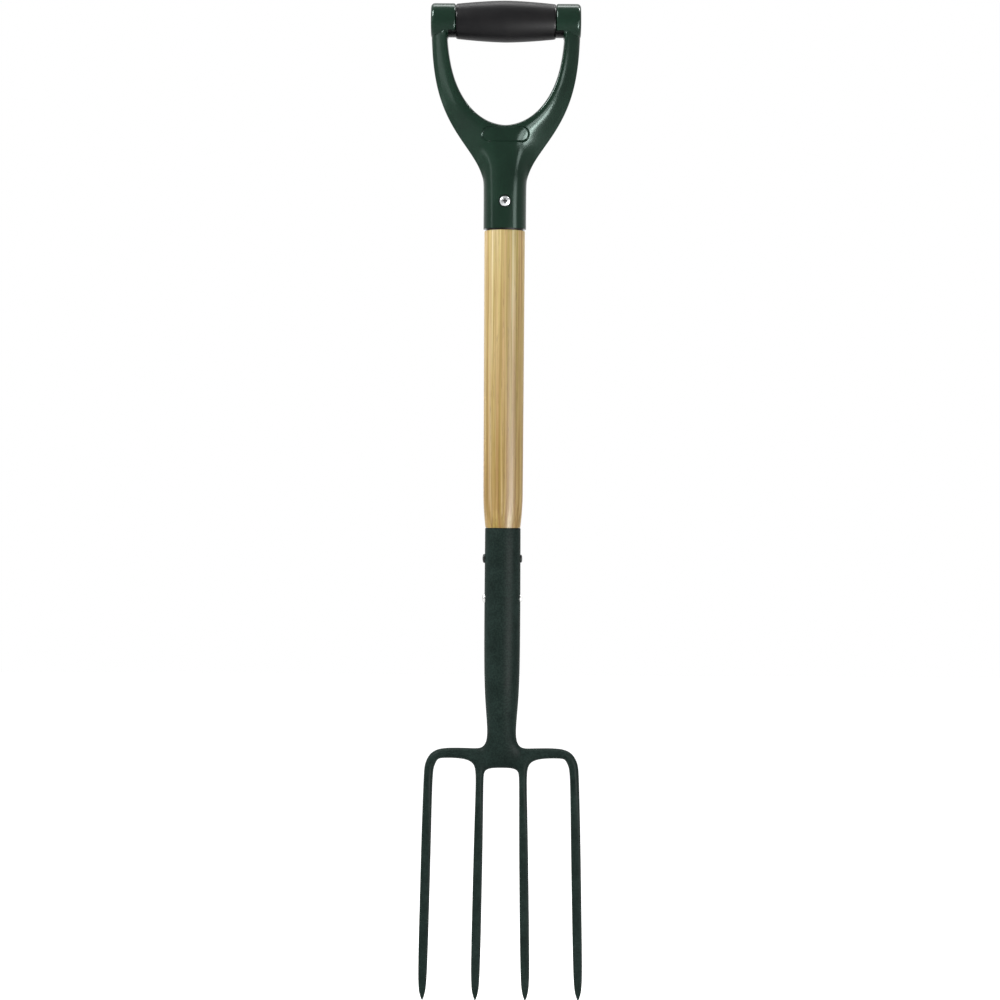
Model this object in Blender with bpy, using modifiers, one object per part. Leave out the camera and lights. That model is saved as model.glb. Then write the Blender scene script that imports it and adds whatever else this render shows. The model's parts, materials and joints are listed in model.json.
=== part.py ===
"""Border fork: a forged four-tine head, an ash shaft and a moulded D handle with a soft grip.

Blender 4.5 script, metres, +Z up. The shaft stands on Z, and the hollow side of the tines, the
screw and the recessed pad face -Y. The origin is the middle of the grip's underside, where a
hook carries the fork. Each sub-part is one object with its own material.
"""

import math

import bmesh
import bpy
from mathutils import Vector

MM = 0.001

# Clearance between pieces that touch or are cut for one another
SEAT_GAP = 0.3 * MM

# Grip: a soft barrel moulded round the yoke's crossbar
GRIP_MIDDLE_RADIUS = 19.2 * MM
GRIP_END_RADIUS = 16.2 * MM
GRIP_HALF_LENGTH = 46.1 * MM
GRIP_SWELL_POWER = 1.6
GRIP_END_CHAMFER = 0.9 * MM
GRIP_LIP_LENGTH = 6.0 * MM
GRIP_LIP_HEIGHT = 6.4 * MM

# Yoke: end sleeves, arms round the hand opening, throat and ferrule
CROSSBAR_RADIUS = 9.5 * MM
SLEEVE_RADIUS = 16.5 * MM
SLEEVE_LENGTH = 22.8 * MM
SLEEVE_END_ROUNDING = 6.5 * MM
SLEEVE_INNER_CHAMFER = 0.8 * MM
HAND_HALF_WIDTH = 53.4 * MM
HAND_HEIGHT = 78.5 * MM
HAND_BOTTOM_CREASE = 0.32
ARM_TOP_WIDTH = 15.6 * MM
ARM_SIDE_SHARE = 0.26
ARM_FRONT_SHARE = 0.62
ARM_DEPTH = 25.0 * MM
THROAT_LENGTH = 55.0 * MM
THROAT_DEPTH = 28.8 * MM
THROAT_BESIDE_DEPTH = 32.4 * MM
FLANK_SHOULDER_PULL = 85.5 * MM
FLANK_WAIST_PULL = 36.0 * MM
FLANK_CREASE = 0.35
FERRULE_RADIUS = 19.7 * MM
FERRULE_LENGTH = 39.4 * MM
FERRULE_WALL = 2.6 * MM
PAD_LENGTH = 44.6 * MM
PAD_HEIGHT = 14.3 * MM
PAD_DROP = 8.2 * MM
PAD_RECESS = 2.3 * MM
PAD_TILT = math.radians(9)

# Shaft: turned ash, stepped into the ferrule and tapered into the socket
SHAFT_TOP_RADIUS = 18.7 * MM
SHAFT_BOTTOM_RADIUS = 18.2 * MM
SHAFT_SHOWING = 274.8 * MM
SHAFT_TAPER_LENGTH = 25.0 * MM
SHAFT_SPIGOT_LENGTH = 44.0 * MM
SHAFT_SOCKET_LENGTH = 125.0 * MM
SHAFT_FOOT_RADIUS = 10.5 * MM
SHAFT_EDGE_CHAMFER = 1.0 * MM

# Handle screw: pan head, driven from the front through the ferrule into the shaft
SCREW_DROP = 13.4 * MM
SCREW_HEAD_RADIUS = 5.0 * MM
SCREW_HEAD_HEIGHT = 2.6 * MM
SCREW_SEAT_RADIUS = 6.2 * MM
SCREW_SEAT_DEPTH = 1.3 * MM
SCREW_SHANK_RADIUS = 2.2 * MM
SCREW_SHANK_LENGTH = 30.0 * MM
SCREW_POINT_LENGTH = 5.0 * MM
SCREW_SLOT_WIDTH = 1.2 * MM
SCREW_SLOT_LENGTH = 5.6 * MM
SCREW_SLOT_DEPTH = 1.4 * MM

# Socket of the head, and the two rivets through it and the shaft
SOCKET_MOUTH_RADIUS = 16.4 * MM
SOCKET_RADIUS = 16.9 * MM
SOCKET_LENGTH = 145.0 * MM
SOCKET_WALL = 2.0 * MM
SOCKET_BORE_DEPTH = 130.0 * MM
UPPER_RIVET_DROP = 29.2 * MM
RIVET_SPACING = 36.9 * MM
RIVET_RADIUS = 2.5 * MM
RIVET_HEAD_RADIUS = 4.2 * MM
RIVET_HEAD_HEIGHT = 1.5 * MM
RIVET_TAIL_RADIUS = 3.7 * MM
RIVET_TAIL_HEIGHT = 1.0 * MM

# Forged head: neck, crossbar and tines
NECK_LENGTH = 59.6 * MM
NECK_HALF_WIDTH = 13.3 * MM
NECK_DEPTH = 21.0 * MM
BAR_HEIGHT = 9.4 * MM
BAR_DEPTH = 12.5 * MM
BAR_SETBACK = 5.0 * MM
WEB_HEIGHT = 9.8 * MM
WEB_CORNER_SAG = 1.0 * MM
SHOULDER_LIFT = 0.3 * MM
INNER_TINE_START_DROP = 12.0 * MM
CORNER_REACH = 11.2 * MM
CORNER_DROP = 20.5 * MM
TINE_LENGTH = 220.5 * MM
OUTER_TINE_ROOT_X = 68.1 * MM
OUTER_TINE_TIP_X = 71.4 * MM
INNER_TINE_ROOT_X = 20.0 * MM
INNER_TINE_TIP_X = 22.9 * MM
OUTER_TINE_ROOT_WIDTH = 8.6 * MM
INNER_TINE_ROOT_WIDTH = 6.9 * MM
TINE_FOOT_WIDTH = 8.8 * MM
TINE_ROOT_DEPTH = 11.5 * MM
TINE_FOOT_DEPTH = 5.0 * MM
TINE_POINT_LENGTH = 17.0 * MM
TINE_DISH = 27.0 * MM
TINE_CREASE = 0.34

# Levels that follow from the sizes above
GRIP_AXIS_Z = GRIP_MIDDLE_RADIUS
HAND_BOTTOM_Z = -HAND_HEIGHT
FERRULE_TOP_Z = HAND_BOTTOM_Z - THROAT_LENGTH
FERRULE_END_Z = FERRULE_TOP_Z - FERRULE_LENGTH
SOCKET_MOUTH_Z = FERRULE_END_Z - SHAFT_SHOWING
NECK_TOP_Z = SOCKET_MOUTH_Z - SOCKET_LENGTH
BAR_TOP_Z = NECK_TOP_Z - NECK_LENGTH
BAR_BOTTOM_Z = BAR_TOP_Z - BAR_HEIGHT
TIP_Z = BAR_BOTTOM_Z - TINE_LENGTH
SLEEVE_START_X = GRIP_HALF_LENGTH + SEAT_GAP
SLEEVE_END_X = SLEEVE_START_X + SLEEVE_LENGTH
ARM_OUTER_X = HAND_HALF_WIDTH + ARM_TOP_WIDTH
LIP_END_X = GRIP_HALF_LENGTH + GRIP_LIP_LENGTH - SEAT_GAP
LIP_TOP_Z = GRIP_AXIS_Z - GRIP_END_RADIUS + GRIP_LIP_HEIGHT
UPPER_RIVET_Z = SOCKET_MOUTH_Z - UPPER_RIVET_DROP
LOWER_RIVET_Z = UPPER_RIVET_Z - RIVET_SPACING
SCREW_Z = FERRULE_TOP_Z - SCREW_DROP
FERRULE_BORE_RADIUS = FERRULE_RADIUS - FERRULE_WALL
BAR_MIDDLE_Z = BAR_TOP_Z - BAR_HEIGHT / 2

# A smoothed ring of ten cage corners keeps this share of the corners' radius
RING_SHRINK = (4 + 2 * math.cos(math.radians(36))) / 6
# A smoothed strip two corners wide keeps this share of its cage width
STRIP_SHRINK = 44 / 48


def mix(start, end, share):
    return start + (end - start) * share


def ease(share):
    return share * share * (3 - 2 * share)


def collection_named(name):
    collection = bpy.data.collections.new(name)
    bpy.context.scene.collection.children.link(collection)
    return collection


def material_named(name, colour, roughness, metallic=0.0):
    material = bpy.data.materials.new(name)
    material.use_nodes = True
    shader = material.node_tree.nodes["Principled BSDF"]
    shader.inputs["Base Color"].default_value = (*colour, 1.0)
    shader.inputs["Roughness"].default_value = roughness
    shader.inputs["Metallic"].default_value = metallic
    return material


def add_object(name, mesh, collection, material=None):
    piece = bpy.data.objects.new(name, mesh)
    collection.objects.link(piece)
    if material:
        mesh.materials.append(material)
    return piece


def turned(name, profile, steps, collection, material=None, closed=False, between=False):
    """(radius, height) points, listed down the outer side, turned about the object's Z axis.

    One turned between starts half a step round, so that its edges miss those of what it meets.
    """
    mesh = bpy.data.meshes.new(name)
    start = math.pi / steps if between else 0.0
    across = Vector((math.cos(start), math.sin(start)))
    edges = [(i, i + 1) for i in range(len(profile) - 1)]
    if closed:
        edges.append((len(profile) - 1, 0))
    corners = [(radius * across.x, radius * across.y, height) for radius, height in profile]
    mesh.from_pydata(corners, edges, [])
    piece = add_object(name, mesh, collection, material)
    turn = piece.modifiers.new("Turn", "SCREW")
    turn.steps = turn.render_steps = steps
    turn.use_merge_vertices = True
    turn.merge_threshold = 0.00001
    turn.use_smooth_shade = True
    return piece


def box(name, lowest, highest, collection):
    form = bmesh.new()
    bmesh.ops.create_cube(form, size=1)
    size = Vector(highest) - Vector(lowest)
    middle = (Vector(highest) + Vector(lowest)) / 2
    bmesh.ops.scale(form, vec=size, verts=form.verts)
    bmesh.ops.translate(form, vec=middle, verts=form.verts)
    mesh = bpy.data.meshes.new(name)
    form.to_mesh(mesh)
    form.free()
    return add_object(name, mesh, collection)


def as_cutter(piece):
    piece.hide_render = True
    piece.display_type = "WIRE"
    return piece


def combine(piece, other, operation):
    step = piece.modifiers.new(f"{operation.title()} {other.name}", "BOOLEAN")
    step.operation = operation
    step.object = as_cutter(other)


def smooth_cage(name, points, panels, creases, collection, material):
    """A symmetric soft form from the front view of its +X half.

    Each point is (x, z, middle y, half depth), and each panel names four of them. The panels are
    extruded from front to back, mirrored and smoothed. A crease (point, point, sharpness) holds
    an edge on the front and on the back, and one that names a point twice holds its depth edge.
    """
    form = bmesh.new()
    fronts = {key: form.verts.new((x, y - half, z)) for key, (x, z, y, half) in points.items()}
    faces = [form.faces.new([fronts[key] for key in panel]) for panel in panels]
    keys = {tuple(vert.co): key for key, vert in fronts.items()}
    extruded = bmesh.ops.extrude_face_region(form, geom=faces)["geom"]
    backs = {}
    for vert in extruded:
        if isinstance(vert, bmesh.types.BMVert):
            key = keys[tuple(vert.co)]
            backs[key] = vert
    for key, vert in backs.items():
        vert.co.y += 2 * points[key][3]
    on_plane = [face for face in form.faces if all(abs(v.co.x) < 1e-7 for v in face.verts)]
    bmesh.ops.delete(form, geom=on_plane, context="FACES_ONLY")
    for edge in [edge for edge in form.edges if edge.is_wire]:
        form.edges.remove(edge)
    bmesh.ops.recalc_face_normals(form, faces=form.faces)
    layer = form.edges.layers.float.new("crease_edge")
    for first, second, sharpness in creases:
        if first == second:
            form.edges.get((fronts[first], backs[first]))[layer] = sharpness
            continue
        for side in (fronts, backs):
            form.edges.get((side[first], side[second]))[layer] = sharpness
    for face in form.faces:
        face.smooth = True
    mesh = bpy.data.meshes.new(name)
    form.to_mesh(mesh)
    form.free()
    piece = add_object(name, mesh, collection, material)
    mirror = piece.modifiers.new("Both sides", "MIRROR")
    mirror.merge_threshold = 0.00001
    smoothing = piece.modifiers.new("Smoothing", "SUBSURF")
    smoothing.levels = smoothing.render_levels = 2
    return piece


def round_row(row, z, half_width, half_depth, middle_y=0.0):
    """Three cage points, front middle to side, that smooth into a quarter of an ellipse."""
    points = {}
    for column, angle in zip("abc", (0, 36, 72)):
        across = half_width / RING_SHRINK * math.sin(math.radians(angle))
        deep = half_depth / RING_SHRINK * math.cos(math.radians(angle))
        points[f"{row}{column}"] = (across, z, middle_y, deep)
    return points


def row_panels(upper, lower):
    return [
        (f"{lower}a", f"{lower}b", f"{upper}b", f"{upper}a"),
        (f"{lower}b", f"{lower}c", f"{upper}c", f"{upper}b"),
    ]


def rim_creases(row):
    """Holds the flat end of a round form sharp."""
    return [(f"{row}a", f"{row}b", 1.0), (f"{row}b", f"{row}c", 1.0), (f"{row}c", f"{row}c", 1.0)]


def flank_point(share):
    """The yoke's outer edge in the front view, from the arm's top to the ferrule."""
    corners = (
        Vector((ARM_OUTER_X, 0)),
        Vector((ARM_OUTER_X, -FLANK_SHOULDER_PULL)),
        Vector((FERRULE_RADIUS, FERRULE_TOP_Z + FLANK_WAIST_PULL)),
        Vector((FERRULE_RADIUS, FERRULE_TOP_Z)),
    )
    rest = 1 - share
    weights = (rest**3, 3 * rest**2 * share, 3 * rest * share**2, share**3)
    return sum((weight * corner for weight, corner in zip(weights, corners)), Vector((0, 0)))


def yoke_cage():
    """The yoke's half in the front view: ribs from the hand opening out to the flank."""
    arm_ribs = 4
    throat_ribs = 3
    flank_power = 1.35
    side_half = ARM_DEPTH * ARM_SIDE_SHARE
    arm_half = ARM_DEPTH * ARM_FRONT_SHARE
    ring_middle = FERRULE_RADIUS / RING_SHRINK
    ring_beside = ring_middle * math.cos(math.radians(36))
    points = {}
    rows = []

    def add_rib(inner, outer, across, halves):
        row = f"{len(rows)}"
        rows.append(row)
        middle = inner.lerp(outer, across)
        for column, place, half in zip("abc", (inner, middle, outer), halves):
            points[row + column] = (place.x, place.y, 0.0, half)

    arm_halves = (side_half, arm_half, side_half)
    root_z = GRIP_AXIS_Z - CROSSBAR_RADIUS / 2
    add_rib(Vector((HAND_HALF_WIDTH, root_z)), Vector((ARM_OUTER_X, root_z)), 0.5, arm_halves)
    for i in range(arm_ribs + throat_ribs):
        outer = flank_point(1 - (1 - i / (arm_ribs + throat_ribs)) ** flank_power)
        if i < arm_ribs:
            angle = math.radians(90 * i / arm_ribs)
            inner = Vector((HAND_HALF_WIDTH * math.cos(angle), -HAND_HEIGHT * math.sin(angle)))
            add_rib(inner, outer, 0.5, arm_halves)
            continue
        share = (i - arm_ribs) / throat_ribs
        inner = Vector((0, HAND_BOTTOM_Z - THROAT_LENGTH * share))
        centre_half = mix(THROAT_DEPTH / 2, ring_middle, share**2)
        beside_half = mix(THROAT_BESIDE_DEPTH / 2, ring_beside, share)
        add_rib(inner, outer, 0.6, (centre_half, beside_half, side_half))
    ribs = len(rows)
    for z in (FERRULE_TOP_Z, FERRULE_END_Z):
        row = f"{len(rows)}"
        rows.append(row)
        points.update(round_row(row, z, FERRULE_RADIUS, FERRULE_RADIUS))
    panels = [panel for upper, lower in zip(rows, rows[1:]) for panel in row_panels(upper, lower)]
    creases = rim_creases(rows[-1])
    for upper, lower in zip(rows[1 : ribs - 1], rows[2:ribs]):
        creases.append((f"{upper}c", f"{lower}c", FLANK_CREASE))
    hand_bottom = arm_ribs + 1
    for number in (hand_bottom - 1, hand_bottom):
        creases.append((f"{rows[number - 1]}a", f"{rows[number]}a", HAND_BOTTOM_CREASE))
    return points, panels, creases


def make_yoke(parts, cutters, material):
    points, panels, creases = yoke_cage()
    yoke = smooth_cage("handle_yoke", points, panels, creases, parts, material)
    combine(yoke, crossbar_form(cutters), "UNION")
    for side in (-1, 1):
        ends = sorted((side * GRIP_HALF_LENGTH, side * (LIP_END_X + SEAT_GAP)))
        lowest = (ends[0], -2 * SLEEVE_RADIUS, GRIP_AXIS_Z - SLEEVE_RADIUS - SEAT_GAP)
        highest = (ends[1], 2 * SLEEVE_RADIUS, LIP_TOP_Z + SEAT_GAP)
        side_name = "left" if side < 0 else "right"
        combine(yoke, box(f"lip_notch_{side_name}", lowest, highest, cutters), "DIFFERENCE")
    bore = turned(
        "ferrule_bore",
        [
            (0, FERRULE_END_Z + SHAFT_SPIGOT_LENGTH + SEAT_GAP),
            (FERRULE_BORE_RADIUS, FERRULE_END_Z + SHAFT_SPIGOT_LENGTH + SEAT_GAP),
            (FERRULE_BORE_RADIUS, FERRULE_END_Z - FERRULE_WALL),
            (0, FERRULE_END_Z - FERRULE_WALL),
        ],
        40,
        cutters,
        between=True,
    )
    combine(yoke, bore, "DIFFERENCE")
    combine(yoke, screw_seat(cutters), "DIFFERENCE")
    combine(yoke, pad_form(cutters), "DIFFERENCE")
    return yoke


def crossbar_form(cutters):
    """The bar through the grip and the two round sleeves at its ends, turned about X."""
    half = [
        (CROSSBAR_RADIUS, SLEEVE_START_X),
        (SLEEVE_RADIUS - SLEEVE_INNER_CHAMFER, SLEEVE_START_X),
        (SLEEVE_RADIUS, SLEEVE_START_X + SLEEVE_INNER_CHAMFER),
    ]
    for i in range(5):
        angle = math.radians(90 * i / 4)
        half.append(
            (
                SLEEVE_RADIUS - SLEEVE_END_ROUNDING * (1 - math.cos(angle)),
                SLEEVE_END_X - SLEEVE_END_ROUNDING * (1 - math.sin(angle)),
            )
        )
    half.append((0, SLEEVE_END_X + SLEEVE_INNER_CHAMFER / 2))
    profile = list(reversed(half)) + [(radius, -x) for radius, x in half]
    form = turned("crossbar_form", profile, 32, cutters, between=True)
    form.rotation_euler.y = math.radians(90)
    form.location.z = GRIP_AXIS_Z
    return form


def pad_form(cutters):
    """The racetrack recess on the front of the throat, with a flat floor."""
    outline = bpy.data.curves.new("pad_outline", "CURVE")
    outline.dimensions = "2D"
    outline.fill_mode = "BOTH"
    outline.extrude = THROAT_DEPTH / 2
    straight = PAD_LENGTH / 2 - PAD_HEIGHT / 2
    spline = outline.splines.new("POLY")
    end_steps = 12
    corners = []
    for side in (1, -1):
        for i in range(end_steps + 1):
            angle = math.radians(-90 + 180 * i / end_steps)
            corners.append(
                (
                    side * (straight + PAD_HEIGHT / 2 * math.cos(angle)),
                    side * PAD_HEIGHT / 2 * math.sin(angle),
                )
            )
    spline.points.add(len(corners) - 1)
    for point, (across, up) in zip(spline.points, corners):
        point.co = (across, up, 0, 1)
    spline.use_cyclic_u = True
    drawn = add_object("pad_outline", outline, cutters)
    drawn.rotation_euler.x = math.radians(90) - PAD_TILT
    floor = Vector((0, PAD_RECESS - THROAT_DEPTH / 2, HAND_BOTTOM_Z - PAD_DROP))
    outward = Vector((0, -math.cos(PAD_TILT), math.sin(PAD_TILT)))
    drawn.location = floor + outward * THROAT_DEPTH / 2
    return made_mesh(drawn, "pad_recess", cutters)


def made_mesh(drawn, name, collection):
    """A curve's solid as a closed mesh, so that a Boolean can take it."""
    bpy.context.view_layer.update()
    graph = bpy.context.evaluated_depsgraph_get()
    mesh = bpy.data.meshes.new_from_object(drawn.evaluated_get(graph))
    form = bmesh.new()
    form.from_mesh(mesh)
    bmesh.ops.remove_doubles(form, verts=form.verts, dist=0.00001)
    bmesh.ops.recalc_face_normals(form, faces=form.faces)
    form.to_mesh(mesh)
    form.free()
    solid = add_object(name, mesh, collection)
    solid.matrix_world = drawn.matrix_world.copy()
    bpy.data.objects.remove(drawn)
    return solid


def along_y(piece, z, y=0.0):
    """Lays a turned piece along the front-to-back axis, its top to the front."""
    piece.rotation_euler.x = math.radians(90)
    piece.location = (0, y, z)
    return piece


def along_x(piece, z):
    """Lays a turned piece across the fork, its top to the left."""
    piece.rotation_euler.y = math.radians(-90)
    piece.location = (0, 0, z)
    return piece


def screw_seat(cutters):
    """Spot face for the screw's head and the clearance hole behind it."""
    hole = SCREW_SHANK_RADIUS + SEAT_GAP
    seat = FERRULE_RADIUS - SCREW_SEAT_DEPTH
    profile = [
        (0, 2 * FERRULE_RADIUS),
        (SCREW_SEAT_RADIUS, 2 * FERRULE_RADIUS),
        (SCREW_SEAT_RADIUS, seat),
        (hole, seat),
        (hole, 0),
        (0, 0),
    ]
    return along_y(turned("screw_seat", profile, 24, cutters, between=True), SCREW_Z)


def make_grip(parts, cutters, material):
    stations = 8
    swell = GRIP_MIDDLE_RADIUS - GRIP_END_RADIUS
    body_end_x = GRIP_HALF_LENGTH - GRIP_END_CHAMFER
    half = []
    for i in range(stations + 1):
        share = i / stations
        half.append((GRIP_MIDDLE_RADIUS - swell * share**GRIP_SWELL_POWER, share * body_end_x))
    half += [
        (GRIP_END_RADIUS - GRIP_END_CHAMFER, GRIP_HALF_LENGTH),
        (GRIP_END_RADIUS, GRIP_HALF_LENGTH + GRIP_END_CHAMFER),
        (GRIP_END_RADIUS, LIP_END_X),
        (CROSSBAR_RADIUS + SEAT_GAP, LIP_END_X),
    ]
    profile = list(reversed(half)) + [(radius, -x) for radius, x in half[1:]]
    grip = turned("grip_sleeve", profile, 32, parts, material, closed=True)
    grip.rotation_euler.y = math.radians(90)
    grip.location.z = GRIP_AXIS_Z
    for side in (-1, 1):
        ends = sorted((side * GRIP_HALF_LENGTH, side * (LIP_END_X + GRIP_LIP_LENGTH)))
        lowest = (ends[0], -2 * GRIP_MIDDLE_RADIUS, LIP_TOP_Z)
        highest = (ends[1], 2 * GRIP_MIDDLE_RADIUS, GRIP_AXIS_Z + 2 * GRIP_MIDDLE_RADIUS)
        side_name = "left" if side < 0 else "right"
        combine(grip, box(f"sleeve_room_{side_name}", lowest, highest, cutters), "DIFFERENCE")
    return grip


def make_shaft(parts, cutters, material):
    """The spigot, the showing length, and the foot that fills the socket's taper."""
    spigot = FERRULE_BORE_RADIUS - SEAT_GAP
    spigot_top = FERRULE_END_Z + SHAFT_SPIGOT_LENGTH
    shoulder = FERRULE_END_Z - SEAT_GAP
    mouth = SOCKET_MOUTH_Z + SEAT_GAP
    foot_z = SOCKET_MOUTH_Z - SHAFT_SOCKET_LENGTH
    profile = [
        (0, spigot_top),
        (spigot - SHAFT_EDGE_CHAMFER, spigot_top),
        (spigot, spigot_top - SHAFT_EDGE_CHAMFER),
        (spigot, shoulder),
        (SHAFT_TOP_RADIUS - SHAFT_EDGE_CHAMFER / 2, shoulder),
        (SHAFT_TOP_RADIUS, shoulder - SHAFT_EDGE_CHAMFER / 2),
    ]
    steps = 4
    for i in range(steps + 1):
        share = i / steps
        profile.append(
            (
                mix(SHAFT_BOTTOM_RADIUS, SOCKET_MOUTH_RADIUS, share**1.5),
                mouth + SHAFT_TAPER_LENGTH * (1 - share),
            )
        )
    profile += [
        (socket_bore_radius(SOCKET_MOUTH_Z) - SEAT_GAP, mouth),
        (socket_bore_radius(foot_z) - SEAT_GAP, foot_z),
        (0, foot_z),
    ]
    shaft = turned("shaft", profile, 32, parts, material)
    for name, z in (("upper", UPPER_RIVET_Z), ("lower", LOWER_RIVET_Z)):
        combine(shaft, rivet_hole(f"shaft_hole_{name}", z, cutters), "DIFFERENCE")
    depth = FERRULE_RADIUS - SCREW_SEAT_DEPTH - SCREW_SHANK_LENGTH - SEAT_GAP
    hole = SCREW_SHANK_RADIUS + SEAT_GAP
    pilot = turned(
        "screw_pilot",
        [(0, 2 * FERRULE_RADIUS), (hole, 2 * FERRULE_RADIUS), (hole, depth), (0, depth)],
        20,
        cutters,
        between=True,
    )
    combine(shaft, along_y(pilot, SCREW_Z), "DIFFERENCE")
    return shaft


def socket_bore_radius(z):
    """The socket's bore tapers evenly from its mouth to its end."""
    share = (SOCKET_MOUTH_Z - z) / SOCKET_BORE_DEPTH
    return mix(SOCKET_MOUTH_RADIUS - SOCKET_WALL, SHAFT_FOOT_RADIUS, share)


def rivet_hole(name, z, cutters):
    radius = RIVET_RADIUS + SEAT_GAP
    reach = 2 * SOCKET_RADIUS
    profile = [(0, reach), (radius, reach), (radius, -reach), (0, -reach)]
    return along_x(turned(name, profile, 20, cutters, between=True), z)


def make_rivet(name, z, parts, material):
    """A domed head on the left and a flatter hammered tail on the right."""
    seat = SOCKET_RADIUS + SEAT_GAP
    dome = []
    tail = []
    for i in range(4):
        angle = math.radians(90 * i / 3)
        dome.append((RIVET_HEAD_RADIUS * math.sin(angle), RIVET_HEAD_HEIGHT * math.cos(angle)))
        tail.append((RIVET_TAIL_RADIUS * math.cos(angle), RIVET_TAIL_HEIGHT * math.sin(angle)))
    profile = [(radius, seat + height) for radius, height in dome]
    profile += [(RIVET_RADIUS, seat), (RIVET_RADIUS, -seat)]
    profile += [(max(radius, 0), -seat - height) for radius, height in tail]
    profile[-1] = (0, profile[-1][1])
    return along_x(turned(name, profile, 20, parts, material), z)


def make_screw(parts, cutters, material):
    seat = FERRULE_RADIUS - SCREW_SEAT_DEPTH + SEAT_GAP
    top = seat + SCREW_HEAD_HEIGHT
    profile = []
    for i in range(5):
        angle = math.radians(75 * i / 4)
        height = SCREW_HEAD_HEIGHT * math.cos(angle)
        profile.append((SCREW_HEAD_RADIUS * math.sin(angle), seat + height))
    profile += [
        (SCREW_HEAD_RADIUS, seat),
        (SCREW_SHANK_RADIUS, seat),
        (SCREW_SHANK_RADIUS, seat - SCREW_SHANK_LENGTH + SCREW_POINT_LENGTH),
        (0, seat - SCREW_SHANK_LENGTH),
    ]
    profile[0] = (0, top)
    screw = along_y(turned("handle_screw", profile, 24, parts, material), SCREW_Z)
    half_length = SCREW_SLOT_LENGTH / 2
    half_width = SCREW_SLOT_WIDTH / 2
    for name, across, up in (
        ("slot_across", half_length, half_width),
        ("slot_upright", half_width, half_length),
    ):
        lowest = (-across, -top - SCREW_SLOT_DEPTH, SCREW_Z - up)
        highest = (across, -top + SCREW_SLOT_DEPTH, SCREW_Z + up)
        combine(screw, box(name, lowest, highest, cutters), "DIFFERENCE")
    return screw


def tine_y(share):
    """The tines hang straight at first and then dish forward."""
    return BAR_SETBACK - TINE_DISH * share**2


def strip_row(row, middle, normal, width, y, depth):
    """Two cage points across a bar or a tine, outer side first."""
    half = width / 2
    outer = middle + normal * half
    inner = middle - normal * half
    half_depth = depth / 2
    return {
        f"{row}o": (outer.x, outer.y, y, half_depth),
        f"{row}i": (inner.x, inner.y, y, half_depth),
    }


def strip_panels(rows):
    return [
        (f"{lower}i", f"{lower}o", f"{upper}o", f"{upper}i") for upper, lower in zip(rows, rows[1:])
    ]


def tine_rows(prefix, root_x, tip_x, root_z, root_width):
    """Rows down one tine, widening and thinning to its point."""
    length = root_z - TIP_Z
    point_start = 1 - TINE_POINT_LENGTH / length
    full_width_at = 0.6
    # Share of the length, of the width and of the depth
    stations = [
        (0.0, 1.0, 1.0),
        (0.5, 1.0, 1.0),
        (point_start, 1.0, 1.0),
        (mix(point_start, 1, 0.62), 0.6, 0.7),
        (1.0, 0.05, 0.25),
    ]
    points = {}
    for number, (share, width_share, depth_share) in enumerate(stations):
        z = mix(root_z, TIP_Z, share)
        middle = Vector((mix(root_x, tip_x, min(share / point_start, 1)), z))
        width = mix(root_width, TINE_FOOT_WIDTH, min(share / full_width_at, 1)) * width_share
        depth = mix(TINE_ROOT_DEPTH, TINE_FOOT_DEPTH, share) * depth_share
        down = (BAR_BOTTOM_Z - z) / TINE_LENGTH
        points.update(
            strip_row(f"{prefix}{number}", middle, Vector((1, 0)), width, tine_y(down), depth)
        )
    return points, [f"{prefix}{number}" for number in range(len(stations))]


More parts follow.
